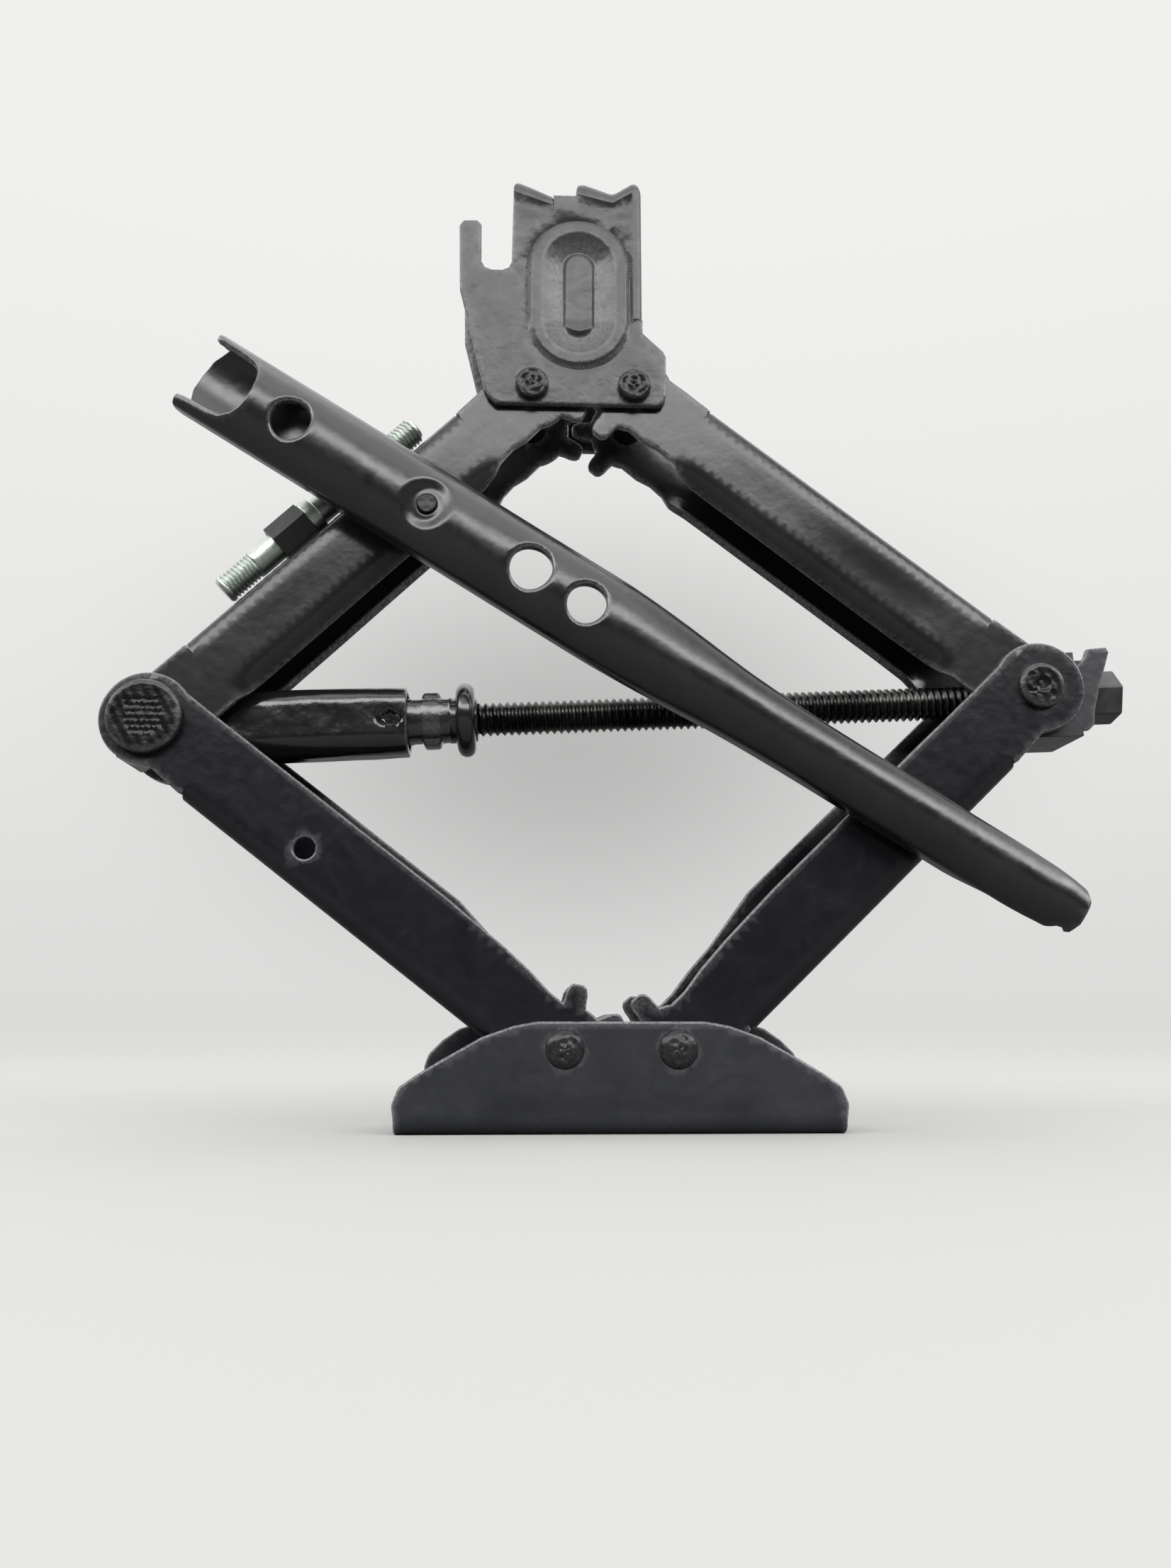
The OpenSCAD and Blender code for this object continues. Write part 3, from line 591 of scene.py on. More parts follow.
def head_wall(name, side):
    def mapping(P, w):
        x, z = P[:, 0], P[:, 1]
        h = emboss(P) if side < 0 else 0 * w
        # pressed in along each bend
        for seam in (seam_left, seam_right):
            dn = np.interp(x, seam[:, 0], seam[:, 1]) - z
            along = smooth01((x - seam[0, 0] + 1) / 3) * smooth01((min(seam[-1, 0], 19.5) - x + 1) / 3) * (x < 17.9)
            h = h - 1.3 * along * smooth01(dn / 3) * np.exp(-(np.clip(dn - 3.4, 0, None) / 3.0) ** 2)
        wave = 0.05 * np.sin(x / 9.0 + 0.5) * np.sin(z / 13.0) * np.clip(1 - np.abs(w) / 9, 0, 1)
        wave = wave * smooth01((z - 4) / 10) * smooth01((17.5 - x) / 4) * smooth01((70 - z) / 4)
        return np.c_[HEAD[0] + x, side * (HEAD_HALF - SHEET / 2 + w + h + wave), HEAD[1] + z]
    grid = [(x + (i % 2) * 1.7, z) for i, z in enumerate(np.arange(-6, 82, 3.5)) for x in np.arange(-44, 30, 3.5)
            if side > 0 or obround_dist(np.array([(x, z)]), *RING)[0] > 2]
    if side < 0:
        for w in [*np.arange(28.0, 38.1, 0.6), 26, 24.5, *np.arange(3, 13.2, 0.7)]:
            grid += obround_points(w, RING[1] - RING[0], 1.3)
    pin_holes = [circle_pts((s * GAP, 0), 5.06) for s in (-1, 1)]
    return sheet_mesh(name, head_outline(), pin_holes, SHEET, mapping, grid, r=0.75, flush=on_join, gap=0.5,
                      wear_and_highlight=emblem_painted_highlight if side < 0 else None)


finish_piece(head_wall("head_front_wall", -1), "head", "head_paint", "head_bracket")
finish_piece(head_wall("head_back_wall", 1), "head", "head_paint")


def bend_section(R, inset):
    """Closed ring (depth 0..R below the bend line, y) of a strip that turns from the front wall to the back wall."""
    r, c = max(R - SHEET, 0.4), HEAD_HALF - R
    # bend that starts and ends without a step in curvature
    ph = math.pi / 2 * smooth01((np.arange(20) + 0.5) / 20)
    ce = np.r_[0, np.cumsum(np.cos(ph))]
    cy = np.r_[0, np.cumsum(np.sin(ph))]
    outer = [(R - R * u / ce[-1], -HEAD_HALF + R * v / cy[-1]) for u, v in zip(ce, cy)]
    mid = [(0, y) for y in np.linspace(-c, c, 9)[1:-1]]
    outer += mid + [(e, -y) for e, y in outer[::-1]]
    inner = [(R - r * math.sin(t), -c - r * math.cos(t)) for t in np.linspace(0, math.pi / 2, 5)]
    inner += [(R - r, y) for y in np.linspace(-c, c, 5)[1:-1]] + [(e, -y) for e, y in inner[::-1]]
    ring = np.array(outer + inner[::-1])
    m = miter(ring)
    if area2(ring) < 0:
        m = -m
    return ring - m * inset


# distance from the end of a strip and how far its edges stand in there
STRIP_END = [(0.0, 0.6), (0.12, 0.3), (0.35, 0.1), (0.7, 0.0)]


def finish_strip(name, rows, insets):
    finish_piece(tube(name, rows, [min(1.0, i * 2) for i in insets], angle=50), "head", "head_paint")


def top_strip(name, lip, seam, corner):
    rows = []
    x0, x1 = lip[0, 0], lip[-1, 0]
    xs = [(x0 + d, i) for d, i in STRIP_END]
    xs += [(x, 0.0) for x in np.arange(x0 + 1.4, x1 - (3.3 if corner else 1.2), 0.8)]
    if corner:
        xs += [(x1 - RIGHT_R + RIGHT_R * math.sin(t), 0.0) for t in np.linspace(0, math.pi / 2 * 0.97, 9)]
    else:
        xs += [(x1 - d, i) for d, i in STRIP_END[::-1]]
    for x, inset in xs:
        zl, zs = np.interp(x, lip[:, 0], lip[:, 1]), np.interp(x, seam[:, 0], seam[:, 1])
        sec = bend_section(HEAD_R, inset)
        y = sec[:, 1].copy()
        if corner and x > x1 - RIGHT_R:
            t = math.asin(min(1.0, (x - x1 + RIGHT_R) / RIGHT_R))
            y *= (HEAD_HALF - RIGHT_R * (1 - math.cos(t))) / HEAD_HALF
        z = zl - sec[:, 0] / HEAD_R * (zl - zs)
        rows.append(np.c_[np.full(len(y), HEAD[0] + x), y, HEAD[1] + z])
    finish_strip(name, rows, [i for _, i in xs])


top_strip("head_lip_left", lip_left, seam_left, False)
top_strip("head_lip_right", lip_right, seam_right, True)
side_z = [(z, 0.0) for z in (right_top, *np.arange(74.5, right_low + 1, -2.4))]
side_z += [(right_low + d, i) for d, i in ((0.7, 0.0), (0.35, 0.1), (0.1, 0.3), (0.0, 0.6))]
rows = []
for z, inset in side_z:
    sec = bend_section(RIGHT_R, inset)
    rows.append(np.c_[HEAD[0] + 21.3 - sec[:, 0], sec[:, 1], np.full(len(sec), HEAD[1] + z)])
finish_strip("head_side", rows, [i for _, i in side_z])


# ---------- base: floor and two walls bent from one sheet ----------

def make_base():
    half, R = BASE_HALF, 4.0
    a, rm = half - R, R - SHEET / 2
    arc = math.pi / 2 * rm
    to_q = lambda z: a + arc + (z - R)
    sides, holes, lim = [], [], []
    for sg in (-1, 1):
        loops = face_loops("base_channel", sg * half)
        p = loops[0]
        q = p[p[:, 1] > R + 0.05]
        ends = p[np.abs(p[:, 1] - R) < 0.05]
        x0, x1 = ends[:, 0].min(), ends[:, 0].max()
        ang = np.arctan2(q[:, 1] - R, q[:, 0])
        q = q[np.argsort(ang)]               # from the right end over the top to the left end
        q = fillet(np.vstack([[(x1, R)], q, [(x0, R)]]), [0] + [3.0] * len(q) + [0])
        sides.append(np.c_[q[:, 0], sg * to_q(q[:, 1])])
        holes += [np.c_[h[:, 0], sg * to_q(h[:, 1])] for h in loops[1:]]
        lim.append((x0, x1))
    front, back = sides
    corner = [(x, qq) for x, qq in ((lim[0][0], 14.0), (lim[1][0] - 2, 17.5), (lim[1][0], a + 0.1))]
    corner2 = [(lim[1][1], a + 0.1), (lim[1][1] + 2, 17.5), (lim[0][1], 14.0)]
    outer = np.vstack([front, corner, back[::-1], corner2])

    def mapping(P, w):
        x, q = P[:, 0], P[:, 1]
        aq, sg = np.abs(q), np.where(q < 0, -1.0, 1.0)
        th = np.clip((aq - a) / rm, 0, math.pi / 2)
        z = np.where(aq <= a, SHEET / 2 - w, R - (rm + w) * np.cos(th))
        y = np.where(aq <= a, aq, a + (rm + w) * np.sin(th))
        wall = aq > a + arc
        zz = R + aq - a - arc
        z = np.where(wall, zz, z)
        y = np.where(wall, half - SHEET / 2 + w, y)
        # raised middle and ends pressed slightly in
        up = smooth01((zz - 6) / 6)
        dish = 0.8 * smooth01((np.abs(x) - 38) / 9) * up + 0.25 * (1 - smooth01(np.abs(x) / 14)) * up
        y = y + np.where(wall, 0.68 * up - dish - 0.05 * (1 + np.sin(x / 11.0)) * up, 0)
        return np.c_[x, sg * y, z]

    qs = [*np.arange(0, a, 5.0), *(a + arc * np.arange(0, 6) / 5), *np.arange(a + arc + 2, a + arc + 31, 2.4)]
    grid = [(x + (1.2 if i % 2 else 0), sg * q) for i, q in enumerate(qs) for x in np.arange(-72, 72.5, 2.6)
            for sg in (-1, 1)]
    o = sheet_mesh("base_piece", outer, holes, SHEET, mapping, grid, r=0.8)
    finish_piece(o, "base", "base_paint", "base_channel")


make_base()


# ---------- handle: rounded channel with a mouth, three holes, a dimple and a flattened tip ----------
HANDLE_AT, SLOPE = np.array([-111.0, 233.2]), math.radians(32.1)
HF, HB, HT = -38.2, -25.2, 2.5
SOCKET_U = 54.5


def at_handle(p):
    """Handle coordinates (along, y, up across) to the frame."""
    u, y, v = p[:, 0], p[:, 1], p[:, 2]
    return np.c_[HANDLE_AT[0] + u * math.cos(SLOPE) + v * math.sin(SLOPE), y,
                 HANDLE_AT[1] - u * math.sin(SLOPE) + v * math.cos(SLOPE)]


TOP_U = [-60, 128, 150, 176, 200, 292, 299, 305, 312]
TOP_V = [15.2, 15.2, 13.4, 10.0, 8.6, 8.3, 7.6, 6.8, 6.0]
LOW_V = [15.2, 15.2, 14.2, 12.4, 11.8, 11.6, 10.8, 10.0, 9.0]
HANDLE_HOLES = (((0, 0), 6.75), ((95.5, 0), 7.1), ((117.5, -0.4), 6.5))
# no grid points nearer than this to the middle of the dimple and of each hole
CLEAR = ((SOCKET_U, 11), (0, 9.3), (95.5, 9.7), (117.5, 9.2))


def handle_half(u, top):
    """Half height of the outline above (top true) or below the middle line, with soft corners."""
    def outline(u):
        return np.where(top, np.interp(u, TOP_U, TOP_V), np.interp(u, TOP_U, LOW_V))
    return 0.25 * outline(u - 9) + 0.5 * outline(u) + 0.25 * outline(u + 9)


def handle_depth(u):
    return 13.0 - 7.6 * smooth01((u - 262) / 24)


def handle_corner(u, top):
    """Outer radius of the corner between front and flange."""
    return np.clip((0.50 + 0.08 * smooth01((u - 126) / 34)) * handle_half(u, top), 4.2, 9.4)


def make_handle():
    def q_edge(u, top):
        r = handle_corner(u, top)
        return float(handle_half(u, top) - r + math.pi / 2 * (r - HT / 2) + np.maximum(handle_depth(u) - r, 0.6))

    us = np.arange(-36.5, 288, 3.0)
    top = [(u, q_edge(u, True)) for u in us]
    low = [(u, -q_edge(u, False)) for u in us]
    tip = [(291, q_edge(289, True) - 0.4), (297, 11.0), (301.5, 9.4), (304.8, 6.4), (307.1, 2.6), (307.4, -4.8),
           (306.2, -8.6), (304.6, -9.6), (303.2, -8.7), (301.6, -9.2), (298.6, -12.6), (291, -q_edge(289, False) + 0.4)]
    mouth = [(-39.3, -q_edge(-39, False) + 2.0), (-39.5, -16.0), (-39.0, -13.4), (-36.0, -12.8), (-26.5, -12.2),
             (-22.2, -11.2), (-19.0, -8.6), (-17.0, -5.2), (-16.3, -1.9), (-16.6, 1.8), (-17.6, 5.2), (-19.4, 8.6),
             (-22.0, 11.4), (-26, 12.4), (-37.5, 12.9), (-39.4, 14.2),
             (-39.4, q_edge(-39, True) - 4.0), (-38.2, q_edge(-39, True) - 1.0)]
    outer = np.vstack([top, tip, low[::-1], mouth])
    holes = [circle_pts(c, r, 56) for c, r in HANDLE_HOLES] + [circle_pts((SOCKET_U, 0), 3.2, 32)]

    def mapping(P, w):
        u, q = P[:, 0], P[:, 1]
        top, aq = q >= 0, np.abs(q)
        hr = handle_corner(u, top)
        rm = hr - HT / 2
        arc = math.pi / 2 * rm
        b = handle_half(u, top) - hr
        # the front face bulges a little, so the corner starts already turned
        crown = 0.21 * b
        x = np.clip(aq / b, 0, 1)
        slope = x * crown * 2 / b
        cn = 1 / np.sqrt(1 + slope ** 2)
        start = np.arctan(2 * crown / b)
        th = start + (math.pi / 2 - start) * np.clip((aq - b) / rm, 0, math.pi / 2) / (math.pi / 2)
        # face, corner and flange; the corner's centre keeps the outer wall on the outline
        face, flange = aq <= b, aq > b + arc
        sunk = HT / 2 + crown + rm * np.cos(start)
        v = np.where(face, aq + w * slope * cn, b + (rm + w) * np.sin(th) - rm * np.sin(start))
        depth = np.where(face, HT / 2 + crown * x ** 2 - w * cn, sunk - (rm + w) * np.cos(th))
        reach = (np.maximum(handle_depth(u), hr + 0.6) - sunk) / np.maximum(handle_depth(u) - hr, 0.6)
        v = np.where(flange, b + rm * (1 - np.sin(start)) + w, v)
        depth = np.where(flange, sunk + (aq - b - arc) * reach, depth)
        v = v + np.where(face, 0, rm * np.sin(start) * smooth01((aq - b) / arc))
        # dimple over the socket, sunk rims of the holes, tip pressed back at its edge
        depth = depth + 2.0 * (1 - smooth01((np.hypot(u - SOCKET_U, q) - 4.6) / 5.0))
        for c, r in HANDLE_HOLES:
            depth = depth + 0.5 * (1 - smooth01((np.hypot(u - c[0], q - c[1]) - r) / 1.6))
        depth = depth + 1.6 * smooth01((u - 290) / 17.5) ** 2
        wob = 0.10 * np.sin(u / 14.0) * np.cos(q / 5.0) + 0.07 * np.sin(u / 6.1 + q / 3.0)
        depth = depth + wob * (aq < 13) * smooth01((u + 34) / 10) + 0.12
        y = np.clip(HF + depth, HF + 0.02, HB - 0.02)
        return at_handle(np.c_[u, y, np.where(top, 1.0, -1.0) * np.minimum(v, 15.15)])

    grid = [p for c, r in HANDLE_HOLES for d in (0.8, 1.3, 1.9) for p in circle_pts(c, r + d, 52)]
    for r in (4.0, 4.6, 5.3, 6.1, 7.0, 8.0, 8.9, 9.7, 10.3):
        grid += [*circle_pts((SOCKET_U, 0), r, int(r * 6))]
    for k, u in enumerate(np.arange(-37, 307, 2.6), 1):
        for sg in (1, -1):
            hr = float(handle_corner(u, sg > 0))
            b, arc = float(handle_half(u, sg > 0)) - hr, math.pi / 2 * (hr - HT / 2)
            qs = [*np.linspace(0, b, 7), *(b + arc * j / 8 for j in range(1, 9))]
            qs += [b + arc + d for d in (2.2, 4.4, 6.6)]
            for q in qs:
                if all(math.hypot(u - c, q) >= r for c, r in CLEAR):
                    grid.append((u + (0.01 * k) % 0.1, sg * q))
    o = sheet_mesh("handle_piece", outer, holes, HT, mapping, grid, r=0.7, step=1.6, gap=0.6)
    finish_piece(o, "handle", "handle_paint", "handle_body")


make_handle()


def make_back_plate():
    """Curved sheet that closes the back of the handle's open end, hollow towards the front."""
    vs, ss, thick = np.linspace(-12.55, 12.55, 23), np.linspace(0, 1, 33), 1.6
    left, right = np.interp(np.abs(vs), [0, 6, 12.7], [-38.4, -37.8, -34.0]), 34
    co = []
    for layer in (0.0, thick):
        for s in ss:
            u = left + (right - left) * s
            y = HB - 0.1 - layer - 3.4 * (vs / 12.7) ** 2 - 0.10 * np.sin(u / 5.0 + vs / 4.0)
            co.append(at_handle(np.c_[u, y, vs]))
    co = np.vstack(co)
    n, m = len(ss), len(vs)
    at = lambda k, i, j: k * n * m + i * m + j
    faces = [(at(k, i, j), at(k, i + 1, j), at(k, i + 1, j + 1), at(k, i, j + 1))
             for k in (0, 1) for i in range(n - 1) for j in range(m - 1)]
    ring = [(i, 0) for i in range(n)] + [(n - 1, j) for j in range(1, m)] + \
           [(i, m - 1) for i in range(n - 2, -1, -1)] + [(0, j) for j in range(m - 2, 0, -1)]
    for (i, j), (k, l) in zip(ring, ring[1:] + ring[:1]):
        faces.append((at(0, i, j), at(0, k, l), at(1, k, l), at(1, i, j)))
    o = add_object("handle_back_plate_piece", co, faces, weighted=False)
    bevel = o.modifiers.new("round", "BEVEL")
    bevel.width, bevel.segments, bevel.limit_method, bevel.angle_limit = 0.35 * MM, 3, "ANGLE", math.radians(50)
    finish_piece(o, "handle", slots["handle_back_plate"], "handle_back_plate")


make_back_plate()


# ---------- turned and threaded parts ----------

def at_pin(p0, ang):
    """Places points drawn along X (jack's screw line) at a pin, turned by the tilt."""
    c, s = math.cos(ang), math.sin(ang)

    def f(p):
        return np.c_[p0[0] + p[:, 0] * c - p[:, 2] * s, p[:, 1], p0[1] + p[:, 0] * s + p[:, 2] * c]
    return f


def along_x(p):
    """Lathe points (x, y, along) to (along, x, y)."""
    return np.c_[p[:, 2], p[:, 0], p[:, 1]]


def along_y(x, z, sign):
    """Lathe points to an axis along Y at (x, z); sign -1 points to the front."""
    return lambda p: np.c_[x + p[:, 0] * (-sign), sign * p[:, 2], z + p[:, 1]]


at_left, at_right = at_pin(TL, TILT), at_pin(TR, TILT)



def threaded(name, place, x0, x1, r, pitch, depth, runs, tip0=1.2, tip1=0.0, per=7):
    """Rod with a helical thread where a run covers it; chamfered ends."""
    n = 44
    xs, x = [x0], x0
    while x < x1 - 1e-6:
        covered = any(a - 0.01 <= x < b for a, b in runs)
        x = min(x1, x + (pitch / per if covered else 2.5))
        for a, b in runs:
            if xs[-1] < a < x:
                x = a
        xs.append(x)
    th = np.arange(n) * 2 * math.pi / n
    rows, ed = [], []
    for x in xs:
        f = 0.0
        for a, b in runs:
            f = max(f, float(smooth01(min((x - a) / pitch, (b - x) / pitch, 1))) if a <= x <= b else 0)
        ph = (x / pitch - th / (2 * math.pi)) % 1.0
        tri = np.clip(np.abs(ph - 0.5) * 2 * 1.35 - 0.12, 0, 1)
        rr = r - 0.02 - depth * f * tri
        rr = rr - tip0 * max(0.0, 1 - (x - x0) / max(tip0, 1e-3)) - tip1 * max(0.0, 1 - (x1 - x) / max(tip1, 1e-3))
        rows.append(place(np.c_[np.full(n, x), rr * np.cos(th), rr * np.sin(th)]))
        ed.append((1 - tri) * f * 0.4)
    return tube(name, rows, ed, angle=50)


o = threaded("screw_piece", at_right, -290, 24.2, 6.0, 2.5, 1.15, [(-289, 6)], tip0=1.5, per=6)
finish_piece(o, "screw", "screw_steel", "screw_rod")


def at_bolt(p):
    """Points drawn along X to the stored bolt's axis, beside the upper left arm."""
    across = np.array([-UP_RIGHT[1], UP_RIGHT[0]])
    xz = TL + np.outer(p[:, 0], UP_RIGHT) + np.outer(p[:, 2] + 20.6, across)
    return np.c_[xz[:, 0], p[:, 1] - 8.0, xz[:, 1]]


o = threaded("bolt_piece", at_bolt, 48, 138.2, 5.0, 1.5, 0.75, [(49, 63), (116, 138.2)], tip0=0.8, tip1=1.6, per=8)
finish_piece(o, "stowed_bolt", "zinc", "bolt_rod")

# squared tube with hammered faces and a crimped end
corners = ((3, 5.2, 0), (-3, 5.2, 90), (-3, -5.4, 180), (3, -5.4, 270))
turn = np.radians(9 * np.arange(11))
tube_ring = np.vstack([np.c_[cy + 7 * np.cos(turn + math.radians(a)), cz + 7 * np.sin(turn + math.radians(a))]
                       for cy, cz, a in corners])
tube_ring = split_edges(tube_ring, 0.8, math.floor)
ring_n = miter(tube_ring) * (1 if area2(tube_ring) > 0 else -1)
y, z = tube_ring.T
rows, ed = [], []
tube_x = [(x, 0.0) for x in np.arange(20, 84.1, 0.8)]
tube_x += [(84.5, 0.1), (84.85, 0.35), (85.0, 0.7), (85.0, 1.6), (84.6, 2.0), (81.0, 2.1)]
for x, inset in tube_x:
    hammered = 0.5 + 0.5 * np.sin(x / 5.5 + z / 4.0 + 2 * np.sin(x / 13.0))
    ins = 0.10 + 0.22 * hammered * (0.6 + 0.4 * np.sin(z / 2.7 + x / 9.0)) + inset
    ins = ins + 0.9 * smooth01((x - 70) / 14) * (np.abs(z) / 12.4) * 0.5
    ins = ins + 2.6 * smooth01((-y - 4) / 4) * (1 - smooth01((np.hypot((x - 79.0) * 0.62, z) - 1.7) / 1.3))
    rows.append(at_left(np.c_[np.full(len(y), x), y - ring_n[:, 0] * ins, z - ring_n[:, 1] * ins]))
    ed.append(0.8 if 0 < inset < 2 else 0.0)
finish_piece(tube("tube_piece", rows, ed), "nut_trunnion", "tube_paint", "nut_tube")

# neck: rows of (x, radius, tab height)
NECK = [(80, 6.8, 0), (82, 8.0, 0), (86.0, 8.0, 0), (86.6, 7.8, 0), (87.0, 7.7, 0), (89.6, 7.7, 0), (90.0, 7.8, 0.5),
        (90.4, 7.9, 1), (90.9, 8.0, 1.15), (91.4, 8.0, 1.2), (95.0, 8.0, 1.2), (95.5, 8.0, 1.15), (96.0, 7.9, 1),
        (96.4, 7.8, 0.5), (96.8, 7.7, 0), (98.8, 7.6, 0), (99.2, 7.7, 0), (99.6, 7.9, 0), (100.2, 8.0, 0),
        (108.2, 7.9, 0), (108.9, 7.4, 0), (109, 6.8, 0), (107, 6.7, 0)]
th = np.arange(72) * 2 * math.pi / 72
squared = 1 / (np.abs(np.cos(th)) ** 5 + np.abs(np.sin(th)) ** 5) ** 0.2
up = smooth01((np.abs(np.sin(th)) - 0.80) / 0.12)
rows = []
for x, rad, tab in NECK:
    k = rad * (1 + (squared - 1) * (0.55 if x < 100 else 0)) + tab * 1.5 * up
    rows.append(at_left(np.c_[np.full(72, x), k * np.cos(th), k * np.sin(th)]))
o = tube("neck_piece", rows, [0.5 if tab > 0.9 else 0.1 for _, _, tab in NECK])
finish_piece(o, "nut_trunnion", "tube_paint", "nut_neck")
a = np.linspace(-math.pi / 2, math.pi / 2, 13)
prof = [(7.9, 101.6)] + [(9.9 + 3.2 * math.cos(t), 105 + 3.3 * math.sin(t)) for t in a] + [(7.9, 108.4)]
o = lathe("collar_piece", prof, lambda p: at_left(along_x(p)),
          ripple=lambda a: 0.007 * np.sin(2 * a + 1) + 0.004 * np.sin(5 * a))
finish_piece(o, "nut_trunnion", "tube_paint", "nut_collar")


def pin_head(name, p0, r, r_head, s, head, cad_node, body, marks):
    """Pin with a headed end: chamfered rim, shallow dish and punched marks."""
    y0, y1 = 8.5, 20.7
    prof = [(r - 0.4, y0), (r, y0 + 0.4), (r, y1), (r_head - 0.3, y1), (r_head, y1 + 0.3), (r_head, y1 + head - 1.1),
            (r_head - 0.15, y1 + head - 0.7), (r_head - 0.5, y1 + head - 0.3), (r_head - 1.1, y1 + head - 0.05),
            (r_head - 1.8, y1 + head)]
    rr = r_head - 2.2
    base = len(prof)
    while rr > 0.4:
        prof.append((rr, y1 + head - 0.02))
        rr -= 0.3

    def place(p):
        q = along_y(0, 0, s)(p)
        x, z = q[:, 0], q[:, 2]
        top = p[:, 2] > y1 + head - 0.4
        d = 0
        for mx, mz, wx, wz, dep in marks:
            d = d + dep * (1 - smooth01((np.hypot((x - mx) / wx, (z - mz) / wz) - 0.7) / 0.5))
        q[:, 1] -= s * np.where(top, d + 0.05 * np.sin(x * 1.7 + z), 0)
        return q + (p0[0], 0, p0[1])
    edge = [0] * 4 + [0.2, 0.5, 0.8, 0.8, 0.5, 0.2] + [0] * (len(prof) - base)
    finish_piece(lathe(name, prof, place, 132, edge), body, "rivet_steel", cad_node)


# marks are (x, z, half width, half height, depth)
BIG_MARKS = [((i - 3) * 1.75 + (0.5 if j % 2 else 0), (j - 2.5) * 2.1, 0.62, 0.85, 0.22)
             for i in range(7) for j in range(6) if math.hypot((i - 3) * 1.75, (j - 2.5) * 2.1) < 7.2]
SMALL_MARKS = [(0.2, 0.2, 2.4, 2.4, 0.7), (-3.6, -2.2, 1.4, 0.7, 0.12), (3.4, -3.2, 0.7, 1.5, 0.10),
               (-3.4, 3.6, 1.2, 0.7, 0.08)]
for s, side in ((-1, "front"), (1, "back")):
    for at, p0, r, r_head, head, marks in (("nut", TL, 8.0, 12.4, 3.6, BIG_MARKS),
                                           ("bearing", TR, 6.0, 7.8, 2.6, SMALL_MARKS)):
        pin = "%s_pin_%s" % (at, side)
        pin_head(pin + "_piece", p0, r, r_head, s, head, pin, at + "_trunnion", marks)


def two_headed(name, x, z, half, head_prof, body, marks):
    """Rivet through the jack with the same head on both ends; head_prof is (radius, height)."""
    one = [(a, half + b) for a, b in head_prof]
    prof = [(a, -b) for a, b in one[::-1]] + [(5.0, -half + 0.01), (5.0, half - 0.01)] + one

    def place(p):
        top = np.abs(p[:, 2]) > half + 1.6
        # swirl left by the riveting tool
        rad, ang = np.hypot(p[:, 0], p[:, 1]), np.arctan2(p[:, 1], p[:, 0])
        d = marks * (0.5 + 0.5 * np.sin(2 * ang + 1.7 * rad + x * 0.3)) * (0.5 + 0.5 * np.sin(3 * ang - 2.3 * rad + 1))
        d = np.where(top, d * smooth01((5.2 - rad) / 1.5), 0)
        return np.c_[x + p[:, 0], p[:, 2] - np.sign(p[:, 2]) * d, z + p[:, 1]]
    e = [0.25] * len(head_prof)
    finish_piece(lathe(name + "_piece", prof, place, edge=e + [0, 0] + e), body, "rivet_steel", name)


dome = [(6.45, 0.02)] + [(6.35 * math.cos(t), 0.35 + 2.5 * math.sin(t)) for t in np.linspace(0, math.pi / 2 * 0.96, 12)]
flat_head = [(5.7, 0.02), (5.8, 0.2), (5.8, 2.1), (5.65, 2.5), (5.3, 2.85), (4.8, 3.0), (4.3, 3.05)]
flat_head += [(q, 3.05) for q in np.arange(3.9, 0.3, -0.4)]
for x, z, half, prof, body, marks in ((0, PINZ, BASE_HALF, dome, "base", 0.5),
                                      (HEAD[0], HEAD[1], HEAD_HALF, flat_head, "head", 0.75)):
    for sg, side in ((-1, "left"), (1, "right")):
        two_headed("%s_rivet_%s" % (body, side), x + sg * GAP, z, half, prof, body, marks)

# everything else keeps its CAD shape with its edges rounded
for body, widths in (("nut_trunnion", {"nut_block": 0.8}),
                     ("bearing_trunnion", {"bearing_block": 0.8, "bearing_yoke": 0.7}),
                     ("screw", {"screw_washer": 0.4, "screw_lock_collar": 0.5, "drive_hex": 0.8}),
                     ("handle", {"handle_socket": 0.5, "socket_rivet": 0.25}),
                     ("right_lower", {"handle_clip": 0.35, "handle_clip_rivet": 0.35}),
                     ("stowed_bolt", {"bolt_hex_sleeve": 0.6, "bolt_collar": 0.5}), ("left_upper", {"bolt_clip": 0.5})):
    for name, width in widths.items():
        soften(name, body, width)


def make_tab():
    """Flared tab of the bearing's yoke, beside the hexagon."""
    outer = fillet([(14.2, -12.6), (14.0, 5.0), (17.6, 9.4), (20.4, 12.0), (21.8, 15.1), (28.8, 15.4), (29.5, 13.6),
                    (24.9, 1.4), (22.2, -6.6), (21.2, -12.4), (19.2, -14.2), (15.4, -14.2)],
                   [1.0] * 4 + [0.8, 0.5, 0.5] + [1.0] * 5)
    along, up = np.array((math.cos(TILT), math.sin(TILT))), np.array((-math.sin(TILT), math.cos(TILT)))

    def mapping(P, w):
        xz = np.array(TR) + np.outer(P[:, 0], along) + np.outer(P[:, 1], up)
        return np.c_[xz[:, 0], -11.25 - w, xz[:, 1]]

    grid = [(s, t) for s in np.arange(14, 30, 1.5) for t in np.arange(-20, 16, 1.5)]
    o = sheet_mesh("bearing_yoke_tab", outer, [], 2.74, mapping, grid, r=0.6, gap=0.5)
    finish_piece(o, "bearing_trunnion", slots["bearing_yoke"])


make_tab()


# ---------- stage, light, camera ----------
FLOOR_NEAR, FLOOR_FAR = (0.40, 0.40, 0.393), (0.385, 0.385, 0.379)
FLOOR_BOUNCE = 0.29                     # how bright the floor is in reflections, against what the camera sees
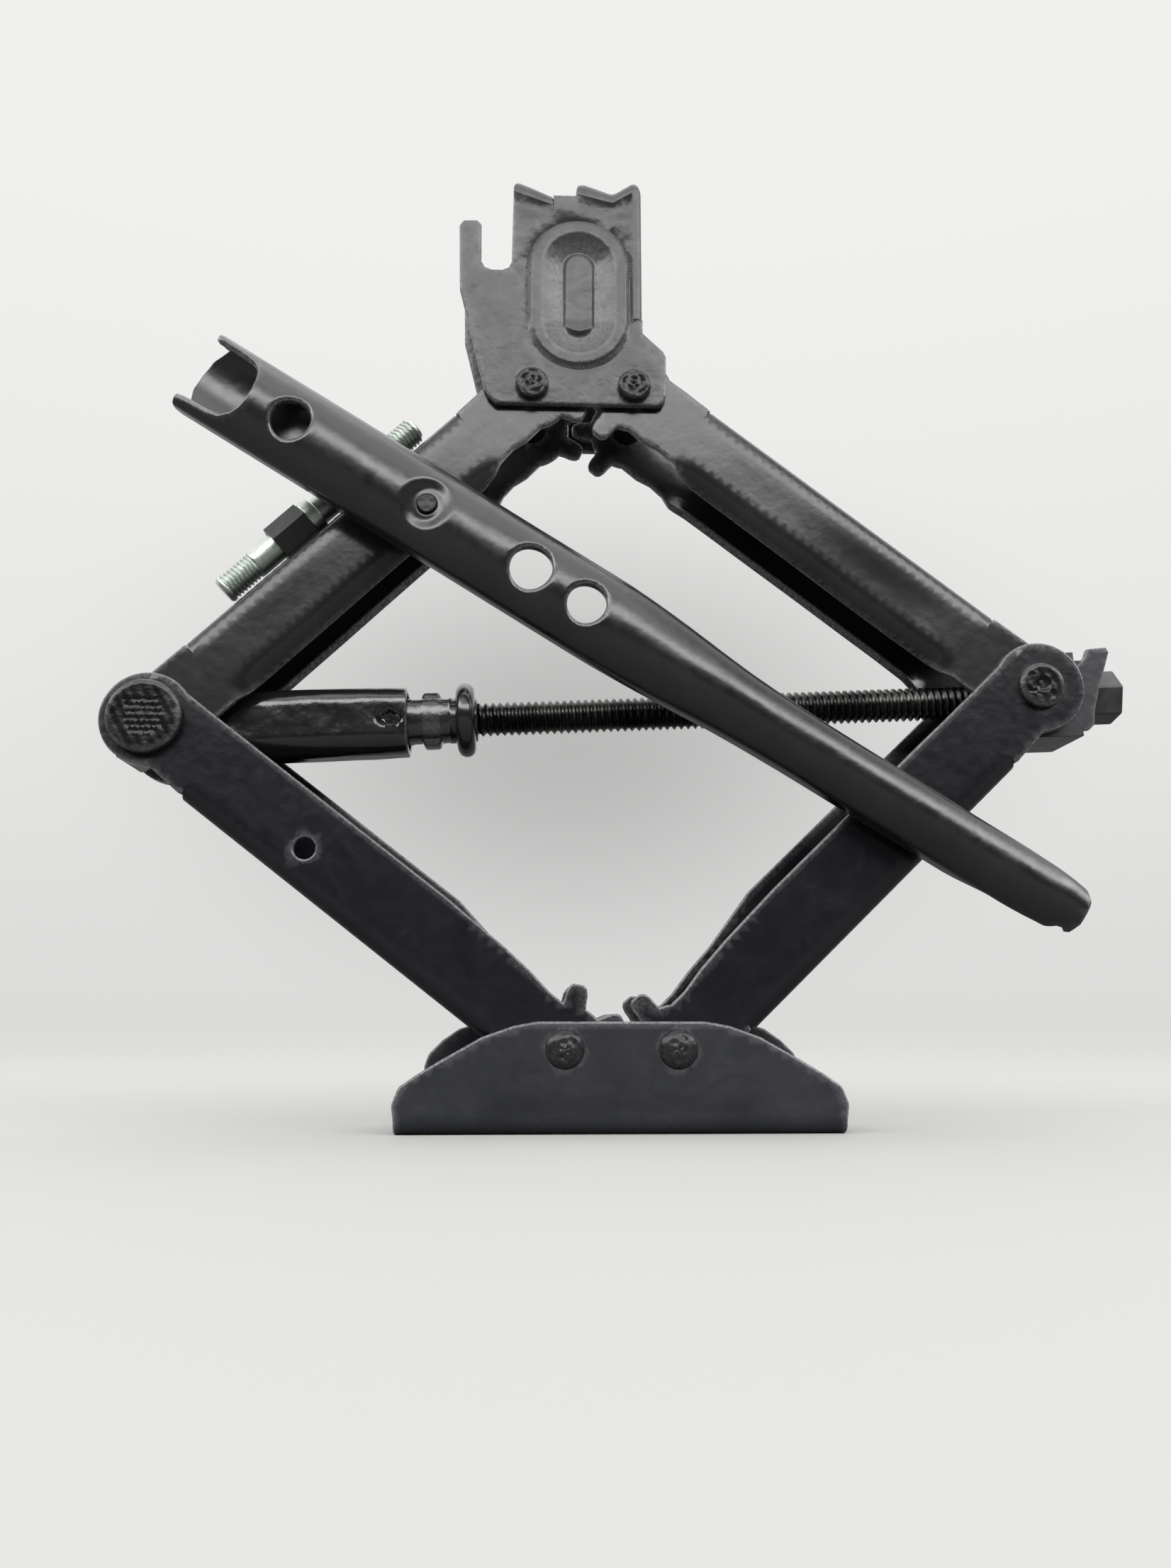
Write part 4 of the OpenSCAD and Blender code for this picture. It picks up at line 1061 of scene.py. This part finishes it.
# brightness against height: 0 at the horizon, 1 overhead
FRONT = [(0.0, 0.015), (0.17, 0.02), (0.27, 0.06), (0.345, 0.10), (0.385, 2.8), (0.425, 7.5), (0.47, 7.5),
         (0.56, 7.0), (0.64, 3.0), (0.74, 0.7), (1.0, 0.4)]
BACK = [(0.0, 0.75), (0.5, 0.85), (0.75, 1.5), (1.0, 2.2)]
SEEN = [(0.0, 0.71), (0.08, 0.73), (0.25, 0.80), (0.55, 0.87)]
SHADE_AT, SHADE_SIZE, SHADE = (0.03, 0.96, 0.22), (0.42, 1.0, 0.24), 0.62


def stops(nt, value, table):
    """Grey level looked up in a table of (position, level)."""
    top = max(v for _, v in table)
    r = node(nt, "ShaderNodeValToRGB", Fac=value)
    el = r.color_ramp.elements
    while len(el) < len(table):
        el.new(0.5)
    for e, (x, _) in zip(el, table):
        e.position = x
    for e, (_, v) in zip(el, table):
        e.color = (v / top, v / top, v / top * 0.99, 1)
    return scaled(nt, r.outputs["Color"], top)


bpy.ops.mesh.primitive_plane_add(size=12, location=(0, 0, 0))
floor = bpy.context.object
floor.name = "floor"
floor_mat, nt, b = new_mat("floor_pale")
b["Roughness"].default_value = 0.75
b["Specular IOR Level"].default_value = 0.2
at = node(nt, "ShaderNodeSeparateXYZ", Vector=node(nt, "ShaderNodeTexCoord").outputs["Object"]).outputs
tone = ramp(nt, map_range(nt, at["Y"], 0.05, 1.1, interpolation_type="SMOOTHSTEP"), 0.0, 1.0, FLOOR_NEAR, FLOOR_FAR)
dim = map_range(nt, node(nt, "ShaderNodeLightPath").outputs["Is Camera Ray"], 0.0, 1.0, FLOOR_BOUNCE, 1.0)
feed(nt, b["Base Color"], scaled(nt, tone, dim))
floor.data.materials.append(floor_mat)

world = bpy.data.worlds.new("studio")
bpy.context.scene.world = world
world.use_nodes = True
nt = world.node_tree
way = node(nt, "ShaderNodeTexCoord").outputs["Generated"]
axes = node(nt, "ShaderNodeSeparateXYZ", Vector=way).outputs
front, back, seen = (stops(nt, axes["Z"], table) for table in (FRONT, BACK, SEEN))
light = mixed(nt, map_range(nt, axes["Y"], -0.25, 0.25), front, back)
# the camera sees a plain backdrop with a soft shade behind the jack
off = maths(nt, "SUBTRACT", way, SHADE_AT, family="VectorMath")
off = maths(nt, "LENGTH", maths(nt, "DIVIDE", off, SHADE_SIZE, family="VectorMath"), family="VectorMath", out="Value")
backdrop = scaled(nt, seen, map_range(nt, off, 0.0, 1.0, SHADE, 1.0, interpolation_type="SMOOTHSTEP"))
bg = nt.nodes["Background"].inputs
feed(nt, bg["Color"], mixed(nt, node(nt, "ShaderNodeLightPath").outputs["Is Camera Ray"], light, backdrop))
bg["Strength"].default_value = 1.0

key = bpy.data.lights.new("key_top", "AREA")
key.shape, key.size, key.size_y, key.energy = "RECTANGLE", 1.2, 0.9, 5
key_at, key_to = Vector((0.0, -0.35, 1.25)), Vector((0.0, 0.0, 0.15))
o = bpy.data.objects.new("key_top", key)
bpy.context.scene.collection.objects.link(o)
o.location = key_at
o.rotation_euler = (key_to - key_at).to_track_quat("-Z", "Y").to_euler()

cam = bpy.data.cameras.new("camera")
cam.sensor_width = 36
cam.lens = 1785.6 / 2213 * 36
cam.clip_start = 0.01
camo = bpy.data.objects.new("camera", cam)
bpy.context.scene.collection.objects.link(camo)
camo.location = (-0.02986, -0.43437, 0.03540)
camo.rotation_euler = (math.radians(90 + 10.592), 0, math.radians(-2.552))
bpy.context.scene.camera = camo
bpy.context.scene.view_settings.view_transform = "Standard"

import json
